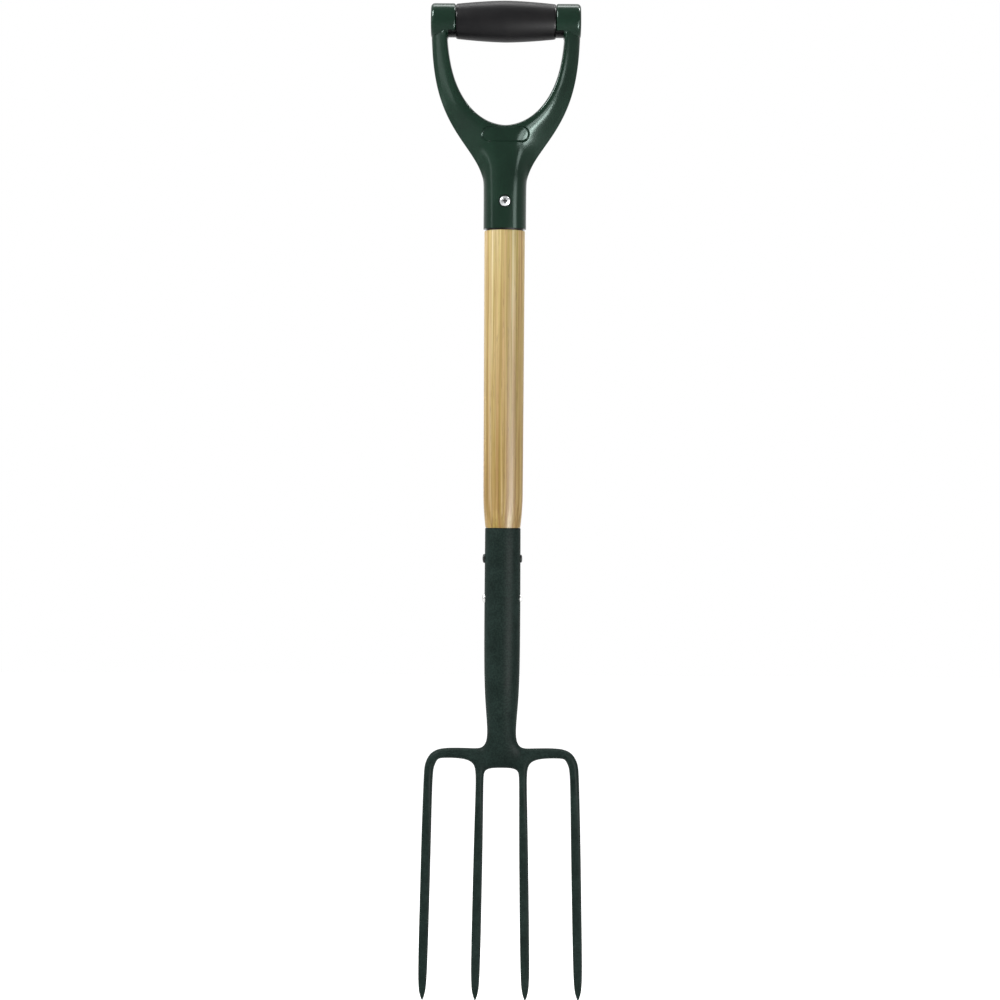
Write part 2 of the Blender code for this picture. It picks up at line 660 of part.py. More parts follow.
def head_cage():
    """The forging's half in the front view: socket, neck, web, crossbar and two tines."""
    points = {}
    neck = []

    def add_round(z, half_width, half_depth, y=0.0):
        row = f"n{len(neck)}"
        neck.append(row)
        points.update(round_row(row, z, half_width, half_depth, y))

    socket_end = 0.92
    neck_narrowest = 0.66
    add_round(SOCKET_MOUTH_Z, SOCKET_MOUTH_RADIUS, SOCKET_MOUTH_RADIUS)
    add_round(mix(SOCKET_MOUTH_Z, NECK_TOP_Z, socket_end), SOCKET_RADIUS, SOCKET_RADIUS)
    for share in (0.33, neck_narrowest, 0.88):
        add_round(
            mix(NECK_TOP_Z, BAR_TOP_Z, share),
            mix(SOCKET_RADIUS, NECK_HALF_WIDTH, min(share / neck_narrowest, 1)),
            mix(SOCKET_RADIUS, NECK_DEPTH / 2, share),
            BAR_SETBACK * ease(share),
        )

    # The web's cage stands past its surface where smoothing draws it in
    beside = 0.55
    middle_bulge = 1.2
    beside_bulge = 1.1
    shoulder_reach = 1.08
    fillet_reach = 1.16
    neck_blend = BAR_HEIGHT * 0.3
    fillet_drop = WEB_HEIGHT * 0.48
    half_bar = BAR_DEPTH / 2 / STRIP_SHRINK
    web_bottom_z = BAR_BOTTOM_Z - WEB_HEIGHT
    inner_edge = INNER_TINE_ROOT_X - INNER_TINE_ROOT_WIDTH / 2
    outer_edge = INNER_TINE_ROOT_X + INNER_TINE_ROOT_WIDTH / 2
    y = BAR_SETBACK
    points.update(
        {
            "pa": (0, BAR_TOP_Z - neck_blend, y, half_bar * middle_bulge),
            "pb": (inner_edge * beside, BAR_TOP_Z - neck_blend, y, half_bar * beside_bulge),
            "pc": (inner_edge * shoulder_reach, BAR_TOP_Z + SHOULDER_LIFT, y, half_bar),
            "pd": (outer_edge * fillet_reach, BAR_TOP_Z + SHOULDER_LIFT, y, half_bar),
            "qa": (0, web_bottom_z, y, half_bar),
            "qb": (inner_edge * beside, web_bottom_z, y, half_bar),
            "qc": (inner_edge, web_bottom_z - WEB_CORNER_SAG, y, half_bar),
            "qd": (outer_edge, BAR_BOTTOM_Z - fillet_drop, y, half_bar),
        }
    )
    panels = []
    for upper, lower in zip(neck + ["p"], neck[1:] + ["p", "q"]):
        panels += row_panels(upper, lower)
    panels.append(("qc", "qd", "pd", "pc"))

    corner = Vector((OUTER_TINE_ROOT_X - CORNER_REACH, BAR_MIDDLE_Z - CORNER_DROP))
    first_bar_row = 0.42
    bar_rows = []

    def add_bar(middle, normal, width, depth):
        row = f"b{len(bar_rows)}"
        bar_rows.append(row)
        cage_width = width / STRIP_SHRINK
        points.update(strip_row(row, middle, normal, cage_width, y, depth / STRIP_SHRINK))

    bar_middle = Vector((mix(outer_edge, corner.x, first_bar_row), BAR_MIDDLE_Z))
    add_bar(bar_middle, Vector((0, 1)), BAR_HEIGHT, BAR_DEPTH)
    for angle in (90, 58, 28):
        turn = math.radians(angle)
        middle = corner + Vector((CORNER_REACH * math.cos(turn), CORNER_DROP * math.sin(turn)))
        normal = Vector((math.cos(turn) / CORNER_REACH, math.sin(turn) / CORNER_DROP)).normalized()
        share = 1 - angle / 90
        width = mix(BAR_HEIGHT, OUTER_TINE_ROOT_WIDTH, share)
        add_bar(middle, normal, width, mix(BAR_DEPTH, TINE_ROOT_DEPTH, share))

    outer, outer_rows = tine_rows(
        "o", OUTER_TINE_ROOT_X, OUTER_TINE_TIP_X, corner.y, OUTER_TINE_ROOT_WIDTH
    )
    inner_z = web_bottom_z - INNER_TINE_START_DROP
    inner, inner_rows = tine_rows(
        "i", INNER_TINE_ROOT_X, INNER_TINE_TIP_X, inner_z, INNER_TINE_ROOT_WIDTH
    )
    points.update(outer)
    points.update(inner)
    panels.append(("qd", "b0i", "b0o", "pd"))
    panels += strip_panels(bar_rows + outer_rows)
    panels.append(("i0i", "i0o", "qd", "qc"))
    panels += strip_panels(inner_rows)
    creases = rim_creases(neck[0])
    for rows in (outer_rows, inner_rows):
        for upper, lower in zip(rows[:-1], rows[1:]):
            for side in "oi":
                creases.append((upper + side, lower + side, TINE_CREASE))
    return points, panels, creases


def make_head(parts, cutters, material):
    points, panels, creases = head_cage()
    head = smooth_cage("fork_head", points, panels, creases, parts, material)
    bore_end_z = SOCKET_MOUTH_Z - SOCKET_BORE_DEPTH
    bore = turned(
        "socket_bore",
        [
            (0, SOCKET_MOUTH_Z + SOCKET_WALL),
            (socket_bore_radius(SOCKET_MOUTH_Z + SOCKET_WALL), SOCKET_MOUTH_Z + SOCKET_WALL),
            (socket_bore_radius(bore_end_z), bore_end_z),
            (0, bore_end_z),
        ],
        36,
        cutters,
        between=True,
    )
    combine(head, bore, "DIFFERENCE")
    for name, z in (("upper", UPPER_RIVET_Z), ("lower", LOWER_RIVET_Z)):
        combine(head, rivet_hole(f"socket_hole_{name}", z, cutters), "DIFFERENCE")
    return head


def main():
    for leftover in list(bpy.data.objects):
        bpy.data.objects.remove(leftover)
    parts = collection_named("border_fork")
    cutters = collection_named("cutters")
    green_paint = material_named("green_paint", (0.023, 0.033, 0.030), 0.5)
    green_plastic = material_named("green_plastic", (0.018, 0.038, 0.027), 0.3)
    black_rubber = material_named("black_rubber", (0.018, 0.017, 0.018), 0.5)
    ash = material_named("ash", (0.58, 0.42, 0.19), 0.45)
    zinc = material_named("zinc", (0.72, 0.73, 0.74), 0.3, 1.0)
    steel = material_named("steel", (0.50, 0.50, 0.49), 0.4, 1.0)
    make_yoke(parts, cutters, green_plastic)
    make_grip(parts, cutters, black_rubber)
    make_shaft(parts, cutters, ash)
    make_screw(parts, cutters, zinc)
    make_head(parts, cutters, green_paint)
    make_rivet("socket_rivet_upper", UPPER_RIVET_Z, parts, steel)
    make_rivet("socket_rivet_lower", LOWER_RIVET_Z, parts, steel)


main()
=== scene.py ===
import json
import math

import bmesh
import bpy
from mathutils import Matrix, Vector

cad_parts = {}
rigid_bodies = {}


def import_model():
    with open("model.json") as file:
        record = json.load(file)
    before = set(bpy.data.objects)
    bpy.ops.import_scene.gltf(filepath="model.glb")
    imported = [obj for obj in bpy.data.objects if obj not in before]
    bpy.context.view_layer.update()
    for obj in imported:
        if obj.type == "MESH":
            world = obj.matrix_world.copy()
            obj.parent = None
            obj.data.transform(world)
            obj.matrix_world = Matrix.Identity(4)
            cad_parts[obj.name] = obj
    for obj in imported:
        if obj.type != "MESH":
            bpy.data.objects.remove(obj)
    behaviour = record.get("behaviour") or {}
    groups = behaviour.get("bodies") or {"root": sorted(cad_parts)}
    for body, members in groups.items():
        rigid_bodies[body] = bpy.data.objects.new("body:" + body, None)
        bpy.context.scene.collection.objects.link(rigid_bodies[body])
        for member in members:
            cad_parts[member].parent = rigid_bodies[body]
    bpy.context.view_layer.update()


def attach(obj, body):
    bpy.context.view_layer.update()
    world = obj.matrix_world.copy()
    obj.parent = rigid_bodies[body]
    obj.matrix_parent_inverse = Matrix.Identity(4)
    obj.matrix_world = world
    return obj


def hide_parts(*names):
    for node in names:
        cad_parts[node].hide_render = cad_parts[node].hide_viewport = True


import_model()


# Fork head: one forging of carbon steel, with a tapered socket, a flattened neck, a crossbar and
# four square tines that dish forward. It is hot forged from a bar, the edges are ground round and
# the whole is coated in a satin, faintly hammered green enamel.
MM = 0.001
SAME_PLACE = 1e-6
SOCKET_RING = 10
SOCKET_MOUTH_Z = -448.6 * MM
SOCKET_MOUTH_RADIUS = 16.4 * MM
SOCKET_RADIUS = 16.9 * MM
SOCKET_WALL = 2.0 * MM
SOCKET_FULL_Z = -581.1 * MM
SOCKET_BORE_END_Z = -577.7 * MM
SOCKET_BORE_END_RADIUS = 10.5 * MM
SOCKET_RIM_ROUNDING = 0.9 * MM
MOUTH_MARGIN = 0.1 * MM
NECK_TOP_Z = -592.7 * MM
NECK_HALF_WIDTH = 13.3 * MM
NECK_HALF_DEPTH = 10.5 * MM
# The neck's rows, as shares of the way from the socket down to the crossbar
NECK_NARROWEST = 0.66
NECK_ROWS = (0.33, NECK_NARROWEST, 0.88)
BAR_TOP_Z = -652.3 * MM
BAR_HEIGHT = 9.4 * MM
BAR_DEPTH = 12.5 * MM
BAR_SETBACK = 5.0 * MM
BAR_FIRST_ROW = 0.42
BAR_SHOULDER_SPREAD = 1.16
WEB_HEIGHT = 9.8 * MM
WEB_CORNER_SAG = 2.4 * MM
WEB_TOP_DROP = 0.3
WEB_SWELLS = (1.2, 1.1)
WEB_MIDWAY = 0.55
WEB_FILLET_DROP = 0.42
SHOULDER_LIFT = 0.3 * MM
SHOULDER_SPREAD = 1.08
CORNER_REACH = 11.2 * MM
CORNER_DROP = 20.5 * MM
CORNER_ANGLES = (90, 58, 28)
TIP_Z = -882.2 * MM
TINE_LENGTH = 220.5 * MM
TINE_DISH = 26.9 * MM
TINE_POINT_LENGTH = 17.0 * MM
OUTER_TINE_ROOT_X = 68.0 * MM
OUTER_TINE_TIP_X = 71.4 * MM
OUTER_TINE_ROOT_WIDTH = 9.0 * MM
INNER_TINE_ROOT_X = 20.0 * MM
INNER_TINE_TIP_X = 22.9 * MM
INNER_TINE_ROOT_WIDTH = 7.8 * MM
INNER_TINE_START_DROP = 12.0 * MM
TINE_FOOT_WIDTH = 8.8 * MM
TINE_ROOT_DEPTH = 11.5 * MM
TINE_FOOT_DEPTH = 5.0 * MM
TINE_WIDEST_AT = 0.6
TINE_EDGE_CREASE = 0.42
HEAD_SMOOTHING = 3
ENAMEL_TONES = (
    (0.34, (0.0139, 0.0246, 0.0211)),
    (0.52, (0.0178, 0.0316, 0.0270)),
    (0.70, (0.0222, 0.0388, 0.0332)),
)
SPECK_TONES = ((0.38, (0.68, 0.68, 0.68)), (0.62, (1.0, 1.0, 1.0)))
ENAMEL_ROUGHNESS = (0.40, 0.52)
ENAMEL_SPECULAR = 0.024
SPECK_STRENGTH = 0.9
FORGING_SCALE = 70.0
FORGING_DEPTH = 3.0
# A smoothed strip keeps this share of the width between its two rows of corners
STRIP_SHRINK = 44 / 48


def mix(start, end, share):
    return start + (end - start) * share


def clear_selection():
    for obj in bpy.context.scene.objects:
        obj.select_set(False)


def pick(kind, test):
    """In edit mode, selects the corners, edges or faces that pass the test, and nothing else."""
    bpy.ops.mesh.select_mode(type=kind)
    bpy.ops.mesh.select_all(action="DESELECT")
    form = bmesh.from_edit_mesh(bpy.context.edit_object.data)
    members = {"VERT": form.verts, "EDGE": form.edges, "FACE": form.faces}[kind]
    members.index_update()
    for member in [member for member in members if test(member)]:
        member.select_set(True)
    form.select_flush_mode()
    bmesh.update_edit_mesh(bpy.context.edit_object.data)


def picked():
    """(number, place) of each selected corner, nearest the fork's middle first."""
    form = bmesh.from_edit_mesh(bpy.context.edit_object.data)
    form.verts.index_update()
    corners = [(corner.index, corner.co.copy()) for corner in form.verts if corner.select]
    return sorted(corners, key=lambda corner: round(corner[1].x, 7))


def move_pair(numbers, x, z, y, half_depth):
    """Sets a front corner and the back corner behind it."""
    pick("VERT", lambda corner: corner.index in numbers)
    (_, front), (_, back) = picked()
    middle = (front + back) / 2
    bpy.ops.transform.translate(value=(x - middle.x, y - middle.y, z - middle.z))
    deeper = half_depth / (abs(front.y - back.y) / 2)
    bpy.ops.transform.resize(value=(1, deeper, 1), center_override=(x, y, z))


def draw_row(columns):
    """Draws the selected edges out into a new row and sets its corners, from the middle outwards.

    A column is (x, z, middle y, half depth) for a front corner and the back corner behind it.
    """
    bpy.ops.mesh.extrude_edges_move()
    numbers = [number for number, _ in picked()]
    for i, column in enumerate(columns):
        move_pair(numbers[2 * i : 2 * i + 2], *column)
    pick("EDGE", lambda edge: all(corner.index in numbers for corner in edge.verts))


def draw_block(middle, lean, width, depth):
    """Draws the selected end face out to its next place: lean turns it from upright to outwards."""
    bpy.ops.mesh.extrude_region_move()
    corners = [corner for _, corner in picked()]
    centre = sum(corners, Vector()) / len(corners)
    front = sorted(corners, key=lambda corner: corner.y)[:2]
    across = front[0] - front[1]
    across.y = 0
    if across.z + across.x < 0:
        across = -across
    bpy.ops.transform.translate(value=middle - centre)
    turn = lean - math.atan2(across.x, across.z)
    bpy.ops.transform.rotate(value=-turn, orient_axis="Y", center_override=middle)
    deep = max(corner.y for corner in corners) - min(corner.y for corner in corners)
    wider = width / across.length
    bpy.ops.transform.resize(value=(wider, depth / deep, wider), center_override=middle)


def kept_radius(corners):
    """The share of its radius that a ring of this many corners keeps when it is smoothed."""
    return (4 + 2 * math.cos(2 * math.pi / corners)) / 6


def oval_row(corners, z, half_width, half_depth, y=0.0):
    """The columns of half an oval ring that has this many corners all round."""
    step = 2 * math.pi / corners
    width = half_width / kept_radius(corners)
    depth = half_depth / kept_radius(corners)
    columns = range(corners // 4 + 1)
    return [(width * math.sin(step * i), z, y, depth * math.cos(step * i)) for i in columns]


def half_tube(corners, radius, top_z, bottom_z):
    """Adds an open tube of this many corners and keeps the half on the right, in edit mode."""
    clear_selection()
    bpy.ops.mesh.primitive_cylinder_add(
        vertices=corners,
        radius=radius / kept_radius(corners),
        depth=top_z - bottom_z,
        end_fill_type="NOTHING",
        location=(0, 0, (top_z + bottom_z) / 2),
    )
    bpy.ops.object.transform_apply(location=True, rotation=False, scale=False)
    bpy.ops.object.mode_set(mode="EDIT")
    bpy.ops.mesh.select_all(action="SELECT")
    bpy.ops.mesh.bisect(
        plane_co=(0, 0, 0), plane_no=(1, 0, 0), clear_inner=True, threshold=SAME_PLACE
    )
    return bpy.context.edit_object


def ease(share):
    return share * share * (3 - 2 * share)


def at_height(z):
    """A test for the edges or faces that lie at this height."""
    return lambda member: all(abs(corner.co.z - z) < SAME_PLACE for corner in member.verts)


def crease_picked(sharpness):
    bpy.ops.transform.edge_crease(value=sharpness)


def fill_between(numbers):
    pick("VERT", lambda corner: corner.index in numbers)
    bpy.ops.mesh.edge_face_add()


head = half_tube(SOCKET_RING, SOCKET_MOUTH_RADIUS, SOCKET_MOUTH_Z, SOCKET_FULL_Z)
pick("EDGE", at_height(SOCKET_FULL_Z))
wider = SOCKET_RADIUS / SOCKET_MOUTH_RADIUS
bpy.ops.transform.resize(value=(wider, wider, 1), center_override=(0, 0, SOCKET_FULL_Z))

# The wall turns in at the mouth, and the bore tapers to its closed end
pick("EDGE", at_height(SOCKET_MOUTH_Z))
crease_picked(1.0)
mouth_bore = SOCKET_MOUTH_RADIUS - SOCKET_WALL
draw_row(oval_row(SOCKET_RING, SOCKET_MOUTH_Z, mouth_bore, mouth_bore))
crease_picked(1.0)
draw_row(
    oval_row(SOCKET_RING, SOCKET_BORE_END_Z, SOCKET_BORE_END_RADIUS, SOCKET_BORE_END_RADIUS)
)
crease_picked(1.0)
bpy.ops.mesh.edge_face_add()

# The neck narrows and flattens, and leans back to the crossbar
pick("EDGE", at_height(SOCKET_FULL_Z))
for share in NECK_ROWS:
    draw_row(
        oval_row(
            SOCKET_RING,
            mix(NECK_TOP_Z, BAR_TOP_Z, share),
            mix(SOCKET_RADIUS, NECK_HALF_WIDTH, min(share / NECK_NARROWEST, 1)),
            mix(SOCKET_RADIUS, NECK_HALF_DEPTH, share),
            BAR_SETBACK * ease(share),
        )
    )

# The web between the inner tines, with its shoulders on the crossbar's top
half_bar = BAR_DEPTH / 2 / STRIP_SHRINK
web_top_z = BAR_TOP_Z - BAR_HEIGHT * WEB_TOP_DROP
shoulder_z = BAR_TOP_Z + SHOULDER_LIFT
bar_bottom_z = BAR_TOP_Z - BAR_HEIGHT
web_bottom_z = bar_bottom_z - WEB_HEIGHT
tine_inside = INNER_TINE_ROOT_X - INNER_TINE_ROOT_WIDTH / 2
tine_outside = INNER_TINE_ROOT_X + INNER_TINE_ROOT_WIDTH / 2
draw_row(
    [
        (0, web_top_z, BAR_SETBACK, half_bar * WEB_SWELLS[0]),
        (tine_inside * WEB_MIDWAY, web_top_z, BAR_SETBACK, half_bar * WEB_SWELLS[1]),
        (tine_inside * SHOULDER_SPREAD, shoulder_z, BAR_SETBACK, half_bar),
    ]
)
draw_row(
    [
        (0, web_bottom_z, BAR_SETBACK, half_bar),
        (tine_inside * WEB_MIDWAY, web_bottom_z, BAR_SETBACK, half_bar),
        (tine_inside, web_bottom_z - WEB_CORNER_SAG, BAR_SETBACK, half_bar),
    ]
)
web_row = [number for number, _ in picked()]
for i in (0, 2):
    fill_between(web_row[i : i + 4])

# The side of the web is drawn out into the crossbar, and round its corner into the outer tine.
# Faces are picked with a tenth to spare on either side of the inner tine.
web_side = 0.9 * tine_inside
inner_tine_beyond = 1.1 * tine_outside
pick(
    "FACE",
    lambda face: face.calc_center_median().z < BAR_TOP_Z
    and all(corner.co.x > web_side for corner in face.verts),
)
bpy.ops.mesh.extrude_region_move()
shoulder = picked()
fillet_pair = [number for number, place in shoulder if place.z < bar_bottom_z]
shoulder_pair = [number for number, place in shoulder if place.z > bar_bottom_z]
fillet_z = bar_bottom_z - WEB_HEIGHT * WEB_FILLET_DROP
bar_shoulder_x = tine_outside * BAR_SHOULDER_SPREAD
move_pair(shoulder_pair, bar_shoulder_x, shoulder_z, BAR_SETBACK, half_bar)
move_pair(fillet_pair, tine_outside, fillet_z, BAR_SETBACK, half_bar)
web_end = fillet_pair + shoulder_pair
pick("FACE", lambda face: all(corner.index in web_end for corner in face.verts))
bar_z = BAR_TOP_Z - BAR_HEIGHT / 2
corner_x = OUTER_TINE_ROOT_X - CORNER_REACH
corner_z = bar_z - CORNER_DROP
draw_block(
    Vector((mix(tine_outside, corner_x, BAR_FIRST_ROW), BAR_SETBACK, bar_z)),
    0.0,
    BAR_HEIGHT / STRIP_SHRINK,
    BAR_DEPTH / STRIP_SHRINK,
)
for angle in CORNER_ANGLES:
    turn = math.radians(angle)
    share = 1 - angle / 90
    across, up = math.cos(turn), math.sin(turn)
    draw_block(
        Vector((corner_x + CORNER_REACH * across, BAR_SETBACK, corner_z + CORNER_DROP * up)),
        math.atan2(across / CORNER_REACH, up / CORNER_DROP),
        mix(BAR_HEIGHT, OUTER_TINE_ROOT_WIDTH, share) / STRIP_SHRINK,
        mix(BAR_DEPTH, TINE_ROOT_DEPTH, share) / STRIP_SHRINK,
    )


def draw_tine(root_x, tip_x, root_z, root_width):
    """Draws the selected face down into a tine that widens, thins and dishes to its point."""
    length = root_z - TIP_Z
    point_start = 1 - TINE_POINT_LENGTH / length
    # Share of the length, and what is left there of the width and the depth
    for share, width_left, depth_left in (
        (0.0, 1.0, 1.0),
        (0.5, 1.0, 1.0),
        (point_start, 1.0, 1.0),
        (mix(point_start, 1, 0.62), 0.6, 0.7),
        (1.0, 0.05, 0.25),
    ):
        z = mix(root_z, TIP_Z, share)
        hang = (bar_bottom_z - z) / TINE_LENGTH
        x = mix(root_x, tip_x, min(share / point_start, 1))
        width = mix(root_width, TINE_FOOT_WIDTH, min(share / TINE_WIDEST_AT, 1)) * width_left
        depth = mix(TINE_ROOT_DEPTH, TINE_FOOT_DEPTH, share) * depth_left
        middle = Vector((x, BAR_SETBACK - TINE_DISH * hang**2, z))
        draw_block(middle, math.pi / 2, width, depth)


draw_tine(OUTER_TINE_ROOT_X, OUTER_TINE_TIP_X, corner_z, OUTER_TINE_ROOT_WIDTH)
inner_root_z = web_bottom_z - INNER_TINE_START_DROP
pick(
    "FACE",
    lambda face: all(
        web_side < corner.co.x < inner_tine_beyond and corner.co.z < bar_bottom_z
        for corner in face.verts
    ),
)
draw_tine(INNER_TINE_ROOT_X, INNER_TINE_TIP_X, inner_root_z, INNER_TINE_ROOT_WIDTH)


def along_tine(edge):
    """Whether an edge runs down a tine, from its root to its point."""
    first, second = (corner.co for corner in edge.verts)
    root_z = corner_z if first.x > corner_x - CORNER_REACH else inner_root_z
    return max(first.z, second.z) < root_z + SAME_PLACE and abs(first.z - second.z) > SAME_PLACE


pick("EDGE", along_tine)
crease_picked(TINE_EDGE_CREASE)
bpy.ops.mesh.select_all(action="SELECT")
bpy.ops.mesh.normals_make_consistent(inside=False)
bpy.ops.object.mode_set(mode="OBJECT")


def apply_modifier(piece, kind, **settings):
    """Adds a modifier of this kind to the piece and applies it."""
    clear_selection()
    piece.select_set(True)
    bpy.context.view_layer.objects.active = piece
    step = piece.modifiers.new(kind.title(), kind)
    for name, value in settings.items():
        setattr(step, name, value)
    bpy.ops.object.modifier_apply(modifier=step.name)


def edit(piece):
    clear_selection()
    piece.select_set(True)
    bpy.context.view_layer.objects.active = piece
    bpy.ops.object.mode_set(mode="EDIT")


def finish_shape(piece, name, crease_angle):
    """Merges doubles, turns the faces outwards, smooths edges up to that angle, and names it."""
    edit(piece)
    bpy.ops.mesh.select_all(action="SELECT")
    bpy.ops.mesh.remove_doubles(threshold=SAME_PLACE)
    bpy.ops.mesh.normals_make_consistent(inside=False)
    bpy.ops.object.mode_set(mode="OBJECT")
    bpy.ops.object.shade_smooth_by_angle(angle=math.radians(crease_angle))
    piece.name = piece.data.name = name


apply_modifier(head, "MIRROR", merge_threshold=10 * SAME_PLACE)
apply_modifier(head, "SUBSURF", levels=HEAD_SMOOTHING, render_levels=HEAD_SMOOTHING)


def mouth_ring(smallest, largest):
    """A test for the edges that run round the socket's mouth, between these radii."""

    def test(edge):
        radii = [corner.co.xy.length for corner in edge.verts]
        runs_round = abs(radii[0] - radii[1]) < MOUTH_MARGIN
        return at_height(SOCKET_MOUTH_Z)(edge) and runs_round and smallest < radii[0] < largest

    return test


# Smoothing leaves rings across the wall's end: they go, and the outer rim is rounded
edit(head)
pick("EDGE", mouth_ring(mouth_bore + MOUTH_MARGIN, SOCKET_MOUTH_RADIUS - MOUTH_MARGIN))
bpy.ops.mesh.dissolve_edges(use_verts=True)
pick("EDGE", mouth_ring(SOCKET_MOUTH_RADIUS - MOUTH_MARGIN, SOCKET_RADIUS))
bpy.ops.mesh.bevel(offset=SOCKET_RIM_ROUNDING, segments=3)
bpy.ops.object.mode_set(mode="OBJECT")
finish_shape(head, "forged_head", crease_angle=40)


def new_group(name, inputs, outputs):
    """An empty shader group with number inputs, and with colour or number outputs."""
    group = bpy.data.node_groups.new(name, "ShaderNodeTree")
    for label, value in inputs.items():
        socket = group.interface.new_socket(label, in_out="INPUT", socket_type="NodeSocketFloat")
        socket.default_value = value
    for label, kind in outputs.items():
        group.interface.new_socket(label, in_out="OUTPUT", socket_type=kind)
    return group


def add_node(tree, kind, **settings):
    node = tree.nodes.new(kind)
    for name, value in settings.items():
        setattr(node, name, value)
    return node


def feed(tree, node, values):
    """Links sockets to a node's inputs, or sets the inputs' own values."""
    for label, value in values.items():
        socket = node.inputs[label]
        if isinstance(value, bpy.types.NodeSocket):
            tree.links.new(value, socket)
        elif socket.type == "RGBA":
            socket.default_value = (*value, 1.0)
        else:
            socket.default_value = value


def noise(tree, place, scale, detail=2.0, roughness=0.5):
    node = add_node(tree, "ShaderNodeTexNoise")
    settings = {"Vector": place, "Scale": scale, "Detail": detail, "Roughness": roughness}
    feed(tree, node, settings)
    return node.outputs["Fac"]


def ramp(tree, factor, stops):
    """A colour ramp; each stop is a place and a linear colour."""
    node = add_node(tree, "ShaderNodeValToRGB")
    elements = node.color_ramp.elements
    while len(elements) < len(stops):
        elements.new(0.5)
    for element, (place, colour) in zip(elements, stops):
        element.position = place
        element.color = (*colour, 1.0)
    feed(tree, node, {"Fac": factor})
    return node.outputs["Color"]


def spread(tree, value, span, result_span):
    """Maps the part of a value inside the first span on to the second one."""
    node = add_node(tree, "ShaderNodeMapRange")
    limits = {"From Min": span[0], "From Max": span[1]}
    limits.update({"To Min": result_span[0], "To Max": result_span[1]})
    feed(tree, node, {"Value": value, **limits})
    return node.outputs["Result"]


def blend_colour(tree, factor, first, second, mode="MIX"):
    """Mixes two colours by a factor; each may be a socket or a value."""
    node = add_node(tree, "ShaderNodeMix", data_type="RGBA", blend_type=mode)
    # The node has sockets for each type of data: inputs 6 and 7 and output 2 are the colours
    feed(tree, node, {0: factor, 6: first, 7: second})
    return node.outputs[2]


def figure(tree, operation, first, second):
    node = add_node(tree, "ShaderNodeMath", operation=operation)
    feed(tree, node, {0: first, 1: second})
    return node.outputs[0]


def own_place(tree):
    """The piece's own coordinates in metres."""
    return add_node(tree, "ShaderNodeTexCoord").outputs["Object"]


def new_material(name):
    material = bpy.data.materials.new(name)
    material.use_nodes = True
    return material, material.node_tree, material.node_tree.nodes["Principled BSDF"]


def add_bump(tree, shader, height, strength, distance):
    bump = add_node(tree, "ShaderNodeBump")
    feed(tree, bump, {"Strength": strength, "Distance": distance, "Height": height})
    feed(tree, shader, {"Normal": bump.outputs["Normal"]})


# Uneven skin of a coated or moulded surface: a slow mottle, and a fine pebbled height
skin = new_group(
    "uneven_skin",
    {"Mottle Scale": 40.0, "Pebble Scale": 900.0},
    {"Mottle": "NodeSocketFloat", "Pebble": "NodeSocketFloat"},
)
scales = add_node(skin, "NodeGroupInput").outputs
place = own_place(skin)
mottle = noise(skin, place, scales["Mottle Scale"], detail=4.0, roughness=0.6)
pebble = noise(skin, place, scales["Pebble Scale"], detail=1.0)
feed(skin, add_node(skin, "NodeGroupOutput"), {"Mottle": mottle, "Pebble": pebble})
# The mottle lies nearly all inside this span
MOTTLE_SPAN = (0.3, 0.7)


def add_skin(tree, mottle_scale, pebble_scale):
    node = add_node(tree, "ShaderNodeGroup", node_tree=skin)
    feed(tree, node, {"Mottle Scale": mottle_scale, "Pebble Scale": pebble_scale})
    return node.outputs["Mottle"], node.outputs["Pebble"]


enamel, tree, shader = new_material("hammered_green_enamel")
mottle, pebble = add_skin(tree, mottle_scale=55.0, pebble_scale=620.0)
# Fine dark specks lie in the hollows of the hammered coat
specks = ramp(tree, pebble, SPECK_TONES)
tones = ramp(tree, mottle, ENAMEL_TONES)
colour = blend_colour(tree, SPECK_STRENGTH, tones, specks, "MULTIPLY")
surface = {
    "Base Color": colour,
    "Roughness": spread(tree, mottle, MOTTLE_SPAN, ENAMEL_ROUGHNESS),
    "Specular IOR Level": ENAMEL_SPECULAR,
}
feed(tree, shader, surface)
forging = noise(tree, own_place(tree), FORGING_SCALE, detail=3.0)
forging = figure(tree, "MULTIPLY", forging, FORGING_DEPTH)
height = figure(tree, "ADD", forging, pebble)
add_bump(tree, shader, height, strength=0.35, distance=0.15 * MM)
head.data.materials.append(enamel)
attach(head, "root")
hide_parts("fork_head")


# Socket rivets: two mild steel rivets driven across the socket and the shaft, with a domed set
# head on the left and a flatter hammered tail on the right. The lower one is left bright, and the
# upper one keeps its dark forging scale.
UPPER_RIVET_Z = -476.9 * MM
LOWER_RIVET_Z = -513.8 * MM
RIVET_RADIUS = 2.5 * MM
RIVET_HEAD_RADIUS = 4.2 * MM
RIVET_TAIL_RADIUS = 3.7 * MM
RIVET_HEAD_END = 18.65 * MM
RIVET_TAIL_END = 18.15 * MM
RIVET_SEAT = 16.2 * MM
RIVET_RIM = 1.0 * MM
DOME_STEPS = 7
DOME_FLAT = 0.04
STEEL_TONES = ((0.35, (0.42, 0.42, 0.41)), (0.65, (0.68, 0.68, 0.67)))
STEEL_SCALE_TONE = (0.022, 0.024, 0.023)
STEEL_ROUGHNESS = (0.22, 0.40)


def ring_at(axis, centre, radius, sides):
    """Adds a circle of edges across the axis, in edit mode."""
    clear_selection()
    turned = {"X": (0, math.pi / 2, 0), "Y": (math.pi / 2, 0, 0), "Z": (0, 0, 0)}[axis]
    bpy.ops.mesh.primitive_circle_add(
        vertices=sides, radius=radius, location=centre, rotation=turned
    )
    bpy.ops.object.transform_apply(location=True, rotation=True, scale=False)
    bpy.ops.object.mode_set(mode="EDIT")
    bpy.ops.mesh.select_mode(type="EDGE")
    bpy.ops.mesh.select_all(action="SELECT")
    return bpy.context.edit_object


